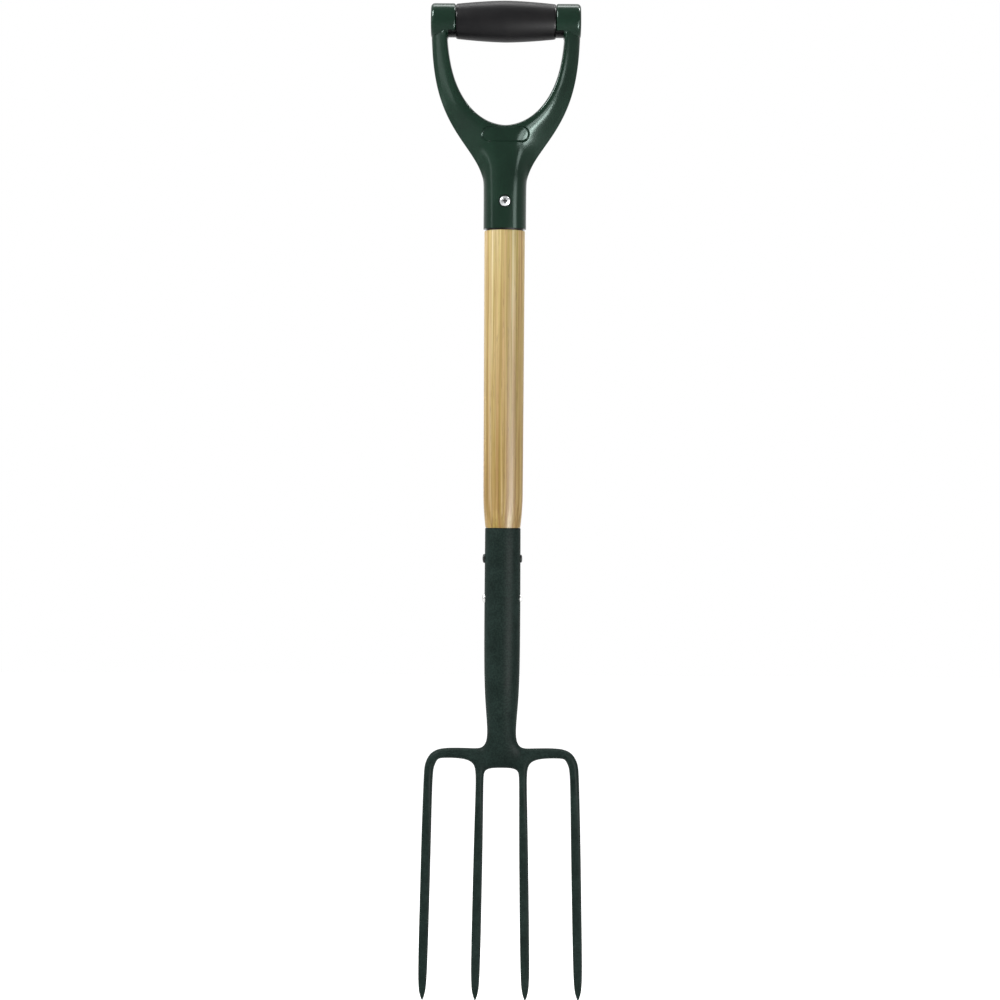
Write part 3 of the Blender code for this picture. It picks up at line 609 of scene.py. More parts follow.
def turn_profile(axis, centre, profile, sides):
    """Draws a ring along the axis through (distance, radius) points, and closes both ends."""
    axis_number = "XYZ".index(axis)

    def on_axis(distance):
        point = Vector(centre)
        point[axis_number] += distance
        return point

    start, radius = profile[0]
    piece = ring_at(axis, on_axis(start), radius, sides)
    bpy.ops.mesh.edge_face_add()
    bpy.ops.mesh.select_all(action="SELECT")
    bpy.ops.mesh.select_mode(type="EDGE")
    for distance, next_radius in profile[1:]:
        move = on_axis(distance) - on_axis(start)
        bpy.ops.mesh.extrude_edges_move(TRANSFORM_OT_translate={"value": move})
        grow = [next_radius / radius] * 3
        grow[axis_number] = 1
        bpy.ops.transform.resize(value=grow, center_override=on_axis(distance))
        start, radius = distance, next_radius
    bpy.ops.mesh.edge_face_add()
    bpy.ops.object.mode_set(mode="OBJECT")
    return piece


def dome(base, top, radius):
    """(distance, radius) points of a low dome from its rim to near its top."""
    points = []
    for i in range(DOME_STEPS):
        angle = math.pi / 2 * i / DOME_STEPS
        points.append((mix(base, top, math.sin(angle)), radius * math.cos(angle)))
    return points + [(top, radius * DOME_FLAT)]


dome_base = RIVET_SEAT + RIVET_RIM
rivet_profile = [
    *reversed(dome(-dome_base, -RIVET_HEAD_END, RIVET_HEAD_RADIUS)),
    (-RIVET_SEAT, RIVET_HEAD_RADIUS),
    (-RIVET_SEAT, RIVET_RADIUS),
    (RIVET_SEAT, RIVET_RADIUS),
    (RIVET_SEAT, RIVET_TAIL_RADIUS),
    *dome(dome_base, RIVET_TAIL_END, RIVET_TAIL_RADIUS),
]
rivet = turn_profile("X", (0, 0, UPPER_RIVET_Z), rivet_profile, sides=32)
finish_shape(rivet, "rivet_upper", crease_angle=40)
clear_selection()
rivet.select_set(True)
bpy.context.view_layer.objects.active = rivet
bpy.ops.object.duplicate_move(
    TRANSFORM_OT_translate={"value": (0, 0, LOWER_RIVET_Z - UPPER_RIVET_Z)}
)
lower_rivet = bpy.context.object
bpy.ops.object.transform_apply(location=True, rotation=False, scale=False)
lower_rivet.name = lower_rivet.data.name = "rivet_lower"


def coordinate(tree, axis):
    """One of the piece's own coordinates in metres."""
    split = add_node(tree, "ShaderNodeSeparateXYZ")
    feed(tree, split, {0: own_place(tree)})
    return split.outputs[axis]


bright_steel, tree, shader = new_material("bright_rivet_steel")
mottle, _ = add_skin(tree, mottle_scale=320.0, pebble_scale=1800.0)
# The scale begins about midway between the rivets
scaled = spread(tree, coordinate(tree, "Z"), (LOWER_RIVET_Z, UPPER_RIVET_Z), (-1.0, 2.5))
surface = {
    "Base Color": blend_colour(tree, scaled, ramp(tree, mottle, STEEL_TONES), STEEL_SCALE_TONE),
    "Roughness": spread(tree, mottle, MOTTLE_SPAN, STEEL_ROUGHNESS),
    "Metallic": 1.0,
}
feed(tree, shader, surface)
add_bump(tree, shader, mottle, strength=0.4, distance=0.1 * MM)
for piece, node in ((rivet, "socket_rivet_upper"), (lower_rivet, "socket_rivet_lower")):
    piece.data.materials.append(bright_steel)
    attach(piece, "root")
    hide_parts(node)


# Shaft: a straight-grained ash dowel, turned on a lathe, with a spigot that fits the ferrule and
# a long taper that is driven into the socket. It is sanded along the grain and clear lacquered.
SHAFT_TOP_RADIUS = 18.7 * MM
SHAFT_BOTTOM_RADIUS = 18.2 * MM
SPIGOT_TOP_Z = -128.9 * MM
SPIGOT_RADIUS = 16.8 * MM
SHOULDER_Z = -174.5 * MM
SHAFT_MOUTH_Z = -448.4 * MM
SHAFT_MOUTH_RADIUS = 16.1 * MM
SHAFT_TAPER_LENGTH = 34.0 * MM
SHAFT_FOOT_Z = -572.7 * MM
SHAFT_FOOT_RADIUS = 10.2 * MM
SHAFT_EDGE_ROUNDING = 0.6 * MM
SHAFT_TAPER_STEPS = 12
SPIGOT_CHAMFER = 1.0 * MM
SHAFT_SOCKET_GAP = 0.3 * MM
CREAM_TONES = (
    (0.34, (0.44, 0.310, 0.115)),
    (0.50, (0.60, 0.455, 0.200)),
    (0.66, (0.76, 0.640, 0.350)),
)
TAN_TONES = (
    (0.34, (0.290, 0.178, 0.055)),
    (0.50, (0.405, 0.270, 0.094)),
    (0.66, (0.54, 0.390, 0.160)),
)
OLIVE_TO_ROSY = (
    (0.36, (0.95, 1.0, 0.72)),
    (0.50, (1.0, 0.99, 0.94)),
    (0.64, (1.0, 0.88, 0.90)),
)
EARLY_WOOD_TINTS = ((0.0, (0.86, 0.82, 0.74)), (0.6, (1.0, 1.0, 1.0)))
DRIFT_TINTS = ((0.35, (0.90, 0.87, 0.80)), (0.62, (1.0, 1.0, 1.0)))
PORE_MASK = ((0.60, (0.0, 0.0, 0.0)), (0.70, (1.0, 1.0, 1.0)))
PALE_STREAK_TONE = (0.80, 0.73, 0.50)
PORE_TONE = (0.20, 0.125, 0.055)
# Painted shade for the gap between the shoulder and the ferrule
GAP_SHADE_TONE = (0.012, 0.009, 0.005)
TAN_FROM_Z = -180.0 * MM
TAN_BY_Z = -400.0 * MM


def rounded_edge(end, radius, rounding, steps, inwards):
    """(distance, radius) points from an end face round its edge to the side of a turned piece.

    Inwards is 1 where the piece lies further along the axis than its end, and otherwise -1.
    """
    points = []
    for i in range(steps + 1):
        angle = math.pi / 2 * i / steps
        distance = end + inwards * rounding * (1 - math.cos(angle))
        points.append((distance, radius - rounding * (1 - math.sin(angle))))
    return points


profile = [
    (SPIGOT_TOP_Z, SPIGOT_RADIUS - SPIGOT_CHAMFER),
    (SPIGOT_TOP_Z - SPIGOT_CHAMFER, SPIGOT_RADIUS),
    (SHOULDER_Z, SPIGOT_RADIUS),
]
profile += rounded_edge(SHOULDER_Z, SHAFT_TOP_RADIUS, SHAFT_EDGE_ROUNDING, steps=3, inwards=-1)
taper_top_z = SHAFT_MOUTH_Z + SHAFT_TAPER_LENGTH
for share in (0.25, 0.5, 0.75):
    radius = mix(SHAFT_TOP_RADIUS, SHAFT_BOTTOM_RADIUS, share)
    profile.append((mix(SHOULDER_Z, taper_top_z, share), radius))
for i in range(SHAFT_TAPER_STEPS + 1):
    share = i / SHAFT_TAPER_STEPS
    z = SHAFT_MOUTH_Z + SHAFT_TAPER_LENGTH * (1 - share)
    profile.append((z, mix(SHAFT_BOTTOM_RADIUS, SHAFT_MOUTH_RADIUS, share**2)))
profile += [
    (SHAFT_MOUTH_Z, mouth_bore - SHAFT_SOCKET_GAP),
    (SHAFT_FOOT_Z, SHAFT_FOOT_RADIUS),
]
shaft = turn_profile("Z", (0, 0, 0), profile, sides=96)
finish_shape(shaft, "ash_shaft", crease_angle=35)

ash, tree, shader = new_material("lacquered_ash")


def stretched(along, turn=0.0):
    """The piece's coordinates, run slower along the grain and turned about the shaft."""
    node = add_node(tree, "ShaderNodeMapping")
    settings = {"Vector": own_place(tree), "Scale": (1.0, 1.0, along), "Rotation": (0, 0, turn)}
    feed(tree, node, settings)
    return node.outputs["Vector"]


year_rings = add_node(tree, "ShaderNodeTexWave", wave_type="BANDS", bands_direction="X")
settings = {
    "Vector": stretched(0.05, math.radians(28)),
    "Scale": 78.0,
    "Distortion": 5.0,
    "Detail": 3.0,
    "Detail Scale": 1.4,
}
feed(tree, year_rings, settings)
rings = year_rings.outputs["Fac"]
streaks = noise(tree, stretched(0.012), scale=420.0, detail=5.0, roughness=0.62)
pores = noise(tree, stretched(0.035), scale=1900.0, detail=2.0, roughness=0.6)
drift = noise(tree, stretched(0.10), scale=55.0, detail=2.0)
hues = noise(tree, stretched(0.014, 0.7), scale=300.0, detail=3.0, roughness=0.6)
pale = noise(tree, stretched(0.010, 0.3), scale=190.0, detail=4.0, roughness=0.7)

# The board is cream at the top and tan towards the socket, in streaks of several hues
height = coordinate(tree, "Z")
downwards = spread(tree, height, (TAN_FROM_Z, TAN_BY_Z), (0.0, 1.0))
cream = ramp(tree, streaks, CREAM_TONES)
timber = blend_colour(tree, downwards, cream, ramp(tree, streaks, TAN_TONES))
timber = blend_colour(tree, 0.9, timber, ramp(tree, hues, OLIVE_TO_ROSY), "MULTIPLY")
pale_share = spread(tree, pale, (0.56, 0.66), (0.0, 0.60))
fewer_below = spread(tree, downwards, (0.0, 1.0), (1.0, 0.35))
pale_share = figure(tree, "MULTIPLY", pale_share, fewer_below)
timber = blend_colour(tree, pale_share, timber, PALE_STREAK_TONE)
# Darker early wood, with most of the open pores in it
timber = blend_colour(tree, 0.55, timber, ramp(tree, rings, EARLY_WOOD_TINTS), "MULTIPLY")
timber = blend_colour(tree, 0.8, timber, ramp(tree, drift, DRIFT_TINTS), "MULTIPLY")
near_early_wood = spread(tree, rings, (0.2, 0.8), (0.75, 0.15))
pore_share = figure(tree, "MULTIPLY", ramp(tree, pores, PORE_MASK), near_early_wood)
timber = blend_colour(tree, pore_share, timber, PORE_TONE)
# Painted shade: the spigot above the shoulder is darkened, so the joint between the shoulder and
# the ferrule shows as a dark line of shade
painted_gap_shade = spread(tree, height, (SHOULDER_Z, SHOULDER_Z + 0.1 * MM), (0.0, 1.0))
surface = {
    "Base Color": blend_colour(tree, painted_gap_shade, timber, GAP_SHADE_TONE),
    "Roughness": spread(tree, streaks, (0.3, 0.7), (0.46, 0.36)),
    "Specular IOR Level": 0.17,
    "Coat Weight": 0.04,
    "Coat Roughness": 0.18,
}
feed(tree, shader, surface)
grain_height = figure(tree, "SUBTRACT", streaks, pore_share)
add_bump(tree, shader, grain_height, strength=0.25, distance=0.12 * MM)
shaft.data.materials.append(ash)
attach(shaft, "root")
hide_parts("shaft")


# Yoke: one injection moulding in glass-filled nylon, with the ferrule, the throat, two arms round
# the hand opening and the crossbar with its end sleeves. The ferrule is pressed on the spigot.
FERRULE_RADIUS = 19.7 * MM
FERRULE_TOP_Z = -133.5 * MM
FERRULE_END_Z = -172.9 * MM
FERRULE_BORE_RADIUS = 17.1 * MM
FERRULE_BORE_TOP_Z = -128.6 * MM
HAND_HALF_WIDTH = 53.8 * MM
HAND_HEIGHT = 79.0 * MM
ARM_OUTER_X = 69.0 * MM
ARM_ROOT_Z = 17.0 * MM
FLANK_SHOULDER_PULL = 85.5 * MM
FLANK_WAIST_Z = -97.5 * MM
FLANK_BAND = 3.7 * MM
FLANK_PACING = 1.35
FLANK_CREASE = 0.55
OPENING_CREASE = 0.28
YOKE_RING = 14
YOKE_SMOOTHING = 4
ARM_RIBS = 4
# Each rib from the arm's top to the throat: how far out its ridge lies, and its half depths in
# millimetres at the hand opening or the middle, at the ridge, at the flank's band and at its edge
RIBS = (
    (0.16, 13.6, 14.6, 8.4, 4.4),
    (0.18, 13.6, 15.8, 7.8, 3.8),
    (0.34, 15.6, 15.6, 5.6, 3.0),
    (0.41, 17.4, 16.0, 4.8, 1.8),
    (0.42, 18.8, 18.4, 4.2, 1.4),
    (0.51, 16.4, 16.4, 4.4, 1.6),
    (0.53, 16.4, 17.2, 6.4, 2.6),
    (0.45, 18.6, 17.6, 12.0, 4.4),
)
ARM_ROOT_HALF_DEPTHS = (13.6, 14.6, 8.4, 4.4)
THROAT_RIB_HEIGHTS = (-HAND_HEIGHT, -92.0 * MM, -105.5 * MM, -117.0 * MM)
NYLON_TONES = (
    (0.32, (0.0050, 0.0190, 0.0105)),
    (0.55, (0.0068, 0.0245, 0.0137)),
    (0.74, (0.0092, 0.0305, 0.0176)),
)
NYLON_ROUGHNESS = (0.17, 0.22)
NYLON_SPECULAR = 0.155
NYLON_SPECULAR_TINT = (0.80, 1.0, 0.93)


def flank_point(share):
    """The yoke's outer edge in the front view, from the arm's top to the ferrule."""
    corners = (
        Vector((ARM_OUTER_X, 0)),
        Vector((ARM_OUTER_X, -FLANK_SHOULDER_PULL)),
        Vector((FERRULE_RADIUS, FLANK_WAIST_Z)),
        Vector((FERRULE_RADIUS, FERRULE_TOP_Z)),
    )
    rest = 1 - share
    weights = (rest**3, 3 * rest**2 * share, 3 * rest * share**2, share**3)
    return sum((weight * corner for weight, corner in zip(weights, corners)), Vector((0, 0)))


def rib_columns(number):
    """One rib of the yoke, from the hand opening or the middle out to the flank."""
    outer = flank_point(1 - (1 - number / len(RIBS)) ** FLANK_PACING)
    if number < ARM_RIBS:
        angle = math.radians(90 * number / ARM_RIBS)
        inner = Vector((HAND_HALF_WIDTH * math.cos(angle), -HAND_HEIGHT * math.sin(angle)))
    else:
        inner = Vector((0, THROAT_RIB_HEIGHTS[number - ARM_RIBS]))
    ridge_at, *half_depths = RIBS[number]
    places = (0, ridge_at, 1 - FLANK_BAND / (outer - inner).length, 1)
    columns = []
    for place, half_depth in zip(places, half_depths):
        point = inner.lerp(outer, place)
        columns.append((point.x, point.y, 0.0, half_depth * MM))
    return columns


yoke = half_tube(YOKE_RING, FERRULE_RADIUS, FERRULE_TOP_Z, FERRULE_END_Z)
pick("EDGE", at_height(FERRULE_END_Z))
crease_picked(1.0)
bpy.ops.mesh.edge_face_add()
pick("EDGE", at_height(FERRULE_TOP_Z))
flank_rows = []
for number in range(len(RIBS) - 1, ARM_RIBS - 1, -1):
    draw_row(rib_columns(number))
    flank_rows.append([corner for corner, _ in picked()])
# Over the throat each arm closes round the hand opening
throat_row = flank_rows[-1]
pick("VERT", lambda corner: corner.index in throat_row[:2])
bpy.ops.mesh.edge_face_add()
pick("EDGE", lambda edge: all(corner.index in throat_row for corner in edge.verts))
for number in range(ARM_RIBS - 1, -1, -1):
    draw_row(rib_columns(number))
    flank_rows.append([corner for corner, _ in picked()])
root_row = []
for (x, _, y, _), half_depth in zip(rib_columns(0), ARM_ROOT_HALF_DEPTHS):
    root_row.append((x, ARM_ROOT_Z, y, half_depth * MM))
draw_row(root_row)
bpy.ops.mesh.edge_face_add()


def along(rows, first, last):
    """A test for the edges that run from row to row through each row's corners first to last."""

    def test(edge):
        places = [
            next((r for r, row in enumerate(rows) if corner.index in row[first:last]), None)
            for corner in edge.verts
        ]
        return None not in places and abs(places[0] - places[1]) == 1

    return test


# A row has two corners to each column: the last four are the flank's, the first two the opening's
pick("EDGE", along(flank_rows, 4, 8))
crease_picked(FLANK_CREASE)
pick("EDGE", along(flank_rows[-ARM_RIBS - 1 :], 0, 2))
crease_picked(OPENING_CREASE)
bpy.ops.mesh.select_all(action="SELECT")
bpy.ops.mesh.normals_make_consistent(inside=False)
bpy.ops.object.mode_set(mode="OBJECT")
apply_modifier(yoke, "MIRROR", merge_threshold=10 * SAME_PLACE)
apply_modifier(yoke, "SUBSURF", levels=YOKE_SMOOTHING, render_levels=YOKE_SMOOTHING)

# Crossbar and end sleeves, turned about the grip's axis
GRIP_AXIS_Z = 19.2 * MM
CROSSBAR_RADIUS = 9.5 * MM
SLEEVE_RADIUS = 16.5 * MM
SLEEVE_START_X = 46.4 * MM
SLEEVE_END_X = 69.2 * MM
SLEEVE_END_ROUNDING = 3.6 * MM
SLEEVE_INNER_ROUNDING = 1.8 * MM
SLEEVE_END_BULGE = 0.3 * MM
SLEEVE_END_FLAT = 4.0 * MM
sleeve = [
    (SLEEVE_START_X, CROSSBAR_RADIUS),
    *rounded_edge(SLEEVE_START_X, SLEEVE_RADIUS, SLEEVE_INNER_ROUNDING, steps=4, inwards=1),
    *reversed(rounded_edge(SLEEVE_END_X, SLEEVE_RADIUS, SLEEVE_END_ROUNDING, steps=8, inwards=-1)),
    (SLEEVE_END_X + SLEEVE_END_BULGE, SLEEVE_END_FLAT),
]
sleeve_profile = [(-x, radius) for x, radius in reversed(sleeve)] + sleeve
crossbar = turn_profile("X", (0, 0, GRIP_AXIS_Z), sleeve_profile, sides=72)
finish_shape(crossbar, "crossbar", crease_angle=40)


def join_or_cut(piece, tool, operation):
    """Joins the tool to the piece, or cuts it out, and removes the tool."""
    edit(tool)
    bpy.ops.mesh.select_all(action="SELECT")
    bpy.ops.mesh.normals_make_consistent(inside=False)
    bpy.ops.object.mode_set(mode="OBJECT")
    apply_modifier(piece, "BOOLEAN", operation=operation, object=tool, solver="EXACT")
    bpy.data.objects.remove(tool)


join_or_cut(yoke, crossbar, "UNION")

# Bore for the spigot; a cutter runs on this far past the surface that it cuts
CUTTER_OVERRUN = 5 * MM
bore_ends = (FERRULE_BORE_TOP_Z, FERRULE_END_Z - CUTTER_OVERRUN)
bore_profile = [(z, FERRULE_BORE_RADIUS) for z in bore_ends]
bore = turn_profile("Z", (0, 0, 0), bore_profile, sides=72)
join_or_cut(yoke, bore, "DIFFERENCE")

# Notch under each sleeve, where the grip's lip shows
GRIP_LIP_TOP_Z = 9.4 * MM
NOTCH_HEIGHT = 8.4 * MM
NOTCH_WIDTH = 8.0 * MM
NOTCH_MIDDLE_X = 49.3 * MM
NOTCH_DEPTH = 60 * MM
for side in (-1, 1):
    clear_selection()
    bpy.ops.mesh.primitive_cube_add(
        size=1, location=(side * NOTCH_MIDDLE_X, 0, GRIP_LIP_TOP_Z - NOTCH_HEIGHT / 2)
    )
    notch = bpy.context.object
    notch.scale = (NOTCH_WIDTH, NOTCH_DEPTH, NOTCH_HEIGHT)
    bpy.ops.object.transform_apply(location=True, rotation=False, scale=True)
    join_or_cut(yoke, notch, "DIFFERENCE")

# Shallow recess on the throat's front: a racetrack with a soft sloping wall
PAD_LENGTH = 45.2 * MM
PAD_HEIGHT = 14.6 * MM
PAD_MIDDLE_Z = -86.6 * MM
PAD_DEPTH = 1.7 * MM
PAD_WALL = 1.3 * MM
PAD_FINE_MARGIN = 2.5 * MM
PAD_SMOOTH_MARGIN = 1.0 * MM


def outside_pad(corner):
    """How far a corner lies outside the racetrack in the front view, or inside it if negative."""
    past_end = max(abs(corner.co.x) - (PAD_LENGTH - PAD_HEIGHT) / 2, 0)
    return math.hypot(past_end, corner.co.z - PAD_MIDDLE_Z) - PAD_HEIGHT / 2


edit(yoke)
pick(
    "FACE",
    lambda face: face.normal.y < -0.4
    and all(outside_pad(corner) < PAD_FINE_MARGIN for corner in face.verts),
)
bpy.ops.mesh.subdivide(number_cuts=2, smoothness=1.0)
pick("VERT", lambda corner: corner.co.y < 0 and outside_pad(corner) < PAD_SMOOTH_MARGIN)
bpy.ops.mesh.vertices_smooth(factor=0.5, repeat=12)
bpy.ops.object.mode_set(mode="OBJECT")
pad = yoke.vertex_groups.new(name="throat_recess")
for corner in yoke.data.vertices:
    if corner.co.y < 0 and outside_pad(corner) < 0:
        pad.add([corner.index], ease(min(-outside_pad(corner) / PAD_WALL, 1)), "REPLACE")
apply_modifier(
    yoke, "DISPLACE", direction="NORMAL", mid_level=0.0, strength=-PAD_DEPTH, vertex_group=pad.name
)

# Spot face for the handle screw, with a shallow groove round its head
SCREW_Z = -148.5 * MM
SCREW_SEAT_RADIUS = 6.1 * MM
SCREW_SEAT_Y = -18.6 * MM
SEAT_GROOVE_RADIUS = 4.7 * MM
SEAT_GROOVE_Y = -17.6 * MM
SEAT_CUTTER_Y = -30 * MM
seat_profile = [
    (SEAT_CUTTER_Y, SCREW_SEAT_RADIUS),
    (SEAT_GROOVE_Y, SCREW_SEAT_RADIUS),
    (SEAT_GROOVE_Y, SEAT_GROOVE_RADIUS),
    (SCREW_SEAT_Y, SEAT_GROOVE_RADIUS),
]
seat = turn_profile("Y", (0, 0, SCREW_Z), seat_profile, sides=48)
join_or_cut(yoke, seat, "DIFFERENCE")
finish_shape(yoke, "moulded_yoke", crease_angle=32)

nylon, tree, shader = new_material("moulded_green_nylon")
mottle, pebble = add_skin(tree, mottle_scale=30.0, pebble_scale=1500.0)
surface = {
    "Base Color": ramp(tree, mottle, NYLON_TONES),
    "Roughness": spread(tree, mottle, MOTTLE_SPAN, NYLON_ROUGHNESS),
    "Specular IOR Level": NYLON_SPECULAR,
    "Specular Tint": NYLON_SPECULAR_TINT,
}
feed(tree, shader, surface)
add_bump(tree, shader, pebble, strength=0.18, distance=0.05 * MM)
yoke.data.materials.append(nylon)
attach(yoke, "root")
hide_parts("handle_yoke")


# Grip: a soft rubber barrel moulded over the crossbar, with a lip at each end that runs on under
# the sleeve. The mould leaves a fine matt grain.
GRIP_MIDDLE_RADIUS = 19.15 * MM
GRIP_END_RADIUS = 16.2 * MM
GRIP_HALF_LENGTH = 46.1 * MM
GRIP_SWELL_POWER = 1.6
GRIP_END_ROUNDING = 1.4 * MM
GRIP_LIP_REACH = 7.2 * MM
GRIP_LIP_GAP = 0.1 * MM
GRIP_BORE_GAP = 0.3 * MM
GRIP_STEPS = 16
GRIP_POLISH_X = (43.9 * MM, 44.7 * MM)
RUBBER_TONES = (
    (0.34, (0.0056, 0.0054, 0.0062)),
    (0.56, (0.0074, 0.0071, 0.0078)),
    (0.74, (0.0106, 0.0099, 0.0100)),
)
RUBBER_ROUGHNESS = (0.38, 0.46)
POLISH = 0.20

half_barrel = []
for i in range(GRIP_STEPS + 1):
    share = i / GRIP_STEPS
    swell = (GRIP_MIDDLE_RADIUS - GRIP_END_RADIUS) * share**GRIP_SWELL_POWER
    x = share * (GRIP_HALF_LENGTH - GRIP_END_ROUNDING)
    half_barrel.append((x, GRIP_MIDDLE_RADIUS - swell))
grip_end = rounded_edge(GRIP_HALF_LENGTH, GRIP_END_RADIUS, GRIP_END_ROUNDING, steps=4, inwards=-1)
half_barrel += reversed(grip_end[:-1])
half_barrel.append((GRIP_HALF_LENGTH, CROSSBAR_RADIUS + GRIP_BORE_GAP))
barrel = [(-x, radius) for x, radius in reversed(half_barrel[1:])] + half_barrel
grip = turn_profile("X", (0, 0, GRIP_AXIS_Z), barrel, sides=96)

# The lip is drawn out of the lower part of each end face
lip_top_z = GRIP_LIP_TOP_Z - GRIP_LIP_GAP
edit(grip)
for side in (-1, 1):

    def on_end(face):
        return abs(face.calc_center_median().x - side * GRIP_HALF_LENGTH) < 10 * SAME_PLACE

    pick("FACE", on_end)
    bpy.ops.mesh.bisect(plane_co=(0, 0, lip_top_z), plane_no=(0, 0, 1))
    pick("FACE", lambda face: on_end(face) and face.calc_center_median().z < lip_top_z)
    bpy.ops.mesh.extrude_region_move(
        TRANSFORM_OT_translate={"value": (side * GRIP_LIP_REACH, 0, 0)}
    )
bpy.ops.object.mode_set(mode="OBJECT")
finish_shape(grip, "rubber_grip", crease_angle=40)

rubber, tree, shader = new_material("black_grip_rubber")
mottle, pebble = add_skin(tree, mottle_scale=24.0, pebble_scale=1300.0)
# The mould is polished at the grip's ends, and its grain leaves the rest matt
from_middle = figure(tree, "ABSOLUTE", coordinate(tree, "X"), 0.0)
polished = spread(tree, from_middle, GRIP_POLISH_X, (0.0, 1.0))
matt = spread(tree, mottle, MOTTLE_SPAN, RUBBER_ROUGHNESS)
gloss = figure(tree, "MULTIPLY", polished, POLISH)
surface = {
    "Base Color": ramp(tree, mottle, RUBBER_TONES),
    "Roughness": figure(tree, "SUBTRACT", matt, gloss),
    "Specular IOR Level": 0.10,
}
feed(tree, shader, surface)
add_bump(tree, shader, pebble, strength=0.30, distance=0.10 * MM)
grip.data.materials.append(rubber)
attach(grip, "root")
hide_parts("grip_sleeve")


# Handle screw: a pan head screw with a cross recess, in bright zinc-plated steel, driven through
# the front of the ferrule into the spigot.
SCREW_HEAD_RADIUS = 5.0 * MM
SCREW_HEAD_BASE_Y = -18.6 * MM
SCREW_HEAD_TOP_Y = -21.2 * MM
SCREW_SHANK_RADIUS = 2.2 * MM
SCREW_END_Y = 11.3 * MM
SCREW_TOP_FLAT = 0.6 * MM
SCREW_RIM = 0.4 * MM
SCREW_UNDERSIDE = 0.97
SCREW_TIP_LENGTH = 5 * MM
SCREW_TIP_RADIUS = 0.1 * MM
PAN_STEPS = 8
PAN_FALL_POWER = 1.1
PAN_SPREAD_POWER = 0.9
CROSS_LENGTH = 6.6 * MM
CROSS_WIDTH = 1.7 * MM
CROSS_DEPTH = 1.9 * MM
CROSS_TAPER = (0.45, 1, 0.6)
ZINC_TONES = ((0.35, (0.32, 0.33, 0.34)), (0.65, (0.50, 0.51, 0.52)))
# Painted shade in the cross recess: its tone
CROSS_SHADE_TONE = (0.05, 0.05, 0.05)
ZINC_ROUGHNESS = (0.16, 0.28)
# Depth and radius over which the painted shade in the cross fades in
CROSS_SHADE_DEPTH = (-20.6 * MM, -20.3 * MM)
CROSS_SHADE_RADIUS = (3.4 * MM, 3.6 * MM)

screw_profile = [(SCREW_HEAD_TOP_Y, SCREW_TOP_FLAT)]
for i in range(1, PAN_STEPS + 1):
    angle = math.pi / 2 * i / PAN_STEPS
    fall = (1 - math.cos(angle)) ** PAN_FALL_POWER
    radius = SCREW_HEAD_RADIUS * math.sin(angle) ** PAN_SPREAD_POWER
    screw_profile.append((mix(SCREW_HEAD_TOP_Y, SCREW_HEAD_BASE_Y - SCREW_RIM, fall), radius))
screw_profile += [
    (SCREW_HEAD_BASE_Y, SCREW_HEAD_RADIUS * SCREW_UNDERSIDE),
    (SCREW_HEAD_BASE_Y, SCREW_SHANK_RADIUS),
    (SCREW_END_Y - SCREW_TIP_LENGTH, SCREW_SHANK_RADIUS),
    (SCREW_END_Y, SCREW_TIP_RADIUS),
]
screw = turn_profile("Y", (0, 0, SCREW_Z), screw_profile, sides=48)

# The cross is cut by two tapered bars
for turn in (0, math.pi / 2):
    clear_selection()
    bpy.ops.mesh.primitive_cube_add(size=1, location=(0, SCREW_HEAD_TOP_Y, SCREW_Z))
    bar = bpy.context.object
    bar.scale = (CROSS_LENGTH, 2 * CROSS_DEPTH, CROSS_WIDTH)
    bpy.ops.object.transform_apply(location=True, rotation=False, scale=True)
    edit(bar)
    pick("FACE", lambda face: face.normal.y > 0.9)
    bar_foot = (0, SCREW_HEAD_TOP_Y + CROSS_DEPTH, SCREW_Z)
    bpy.ops.transform.resize(value=CROSS_TAPER, center_override=bar_foot)
    bpy.ops.mesh.select_all(action="SELECT")
    bpy.ops.transform.rotate(value=turn, orient_axis="Y", center_override=(0, 0, SCREW_Z))
    bpy.ops.object.mode_set(mode="OBJECT")
    join_or_cut(screw, bar, "DIFFERENCE")
finish_shape(screw, "pan_head_screw", crease_angle=35)

zinc, tree, shader = new_material("bright_zinc_plate")
mottle, pebble = add_skin(tree, mottle_scale=260.0, pebble_scale=2200.0)
# Painted shade: the metal is darkened down in the cross recess, where shade falls
flattened = add_node(tree, "ShaderNodeVectorMath", operation="MULTIPLY")
feed(tree, flattened, {0: own_place(tree), 1: (1, 0, 1)})
from_axis = add_node(tree, "ShaderNodeVectorMath", operation="DISTANCE")
feed(tree, from_axis, {0: flattened.outputs[0], 1: (0, 0, SCREW_Z)})
central = spread(tree, from_axis.outputs["Value"], CROSS_SHADE_RADIUS, (1.0, 0.0))
sunk = spread(tree, coordinate(tree, "Y"), CROSS_SHADE_DEPTH, (0.0, 1.0))
painted_cross_shade = figure(tree, "MULTIPLY", sunk, central)
surface = {
    "Base Color": blend_colour(tree, painted_cross_shade, ramp(tree, mottle, ZINC_TONES), CROSS_SHADE_TONE),
    "Roughness": spread(tree, mottle, MOTTLE_SPAN, ZINC_ROUGHNESS),
    "Metallic": 1.0,
}
feed(tree, shader, surface)
add_bump(tree, shader, pebble, strength=0.15, distance=0.03 * MM)
screw.data.materials.append(zinc)
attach(screw, "root")
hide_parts("handle_screw")


# Studio: a pale floor under the fork and a plain even surround. Broad soft lamps to the left, to
# the right and overhead shade the fork, and smaller ones set its highlights.
FLOOR_Z = -0.96
FLOOR_SIZE = 12
FLOOR_GREY = (0.80, 0.80, 0.80)
FLOOR_GLOW = 0.75
WHITE = (1.0, 1.0, 1.0)
WORLD_LEVEL = 0.45
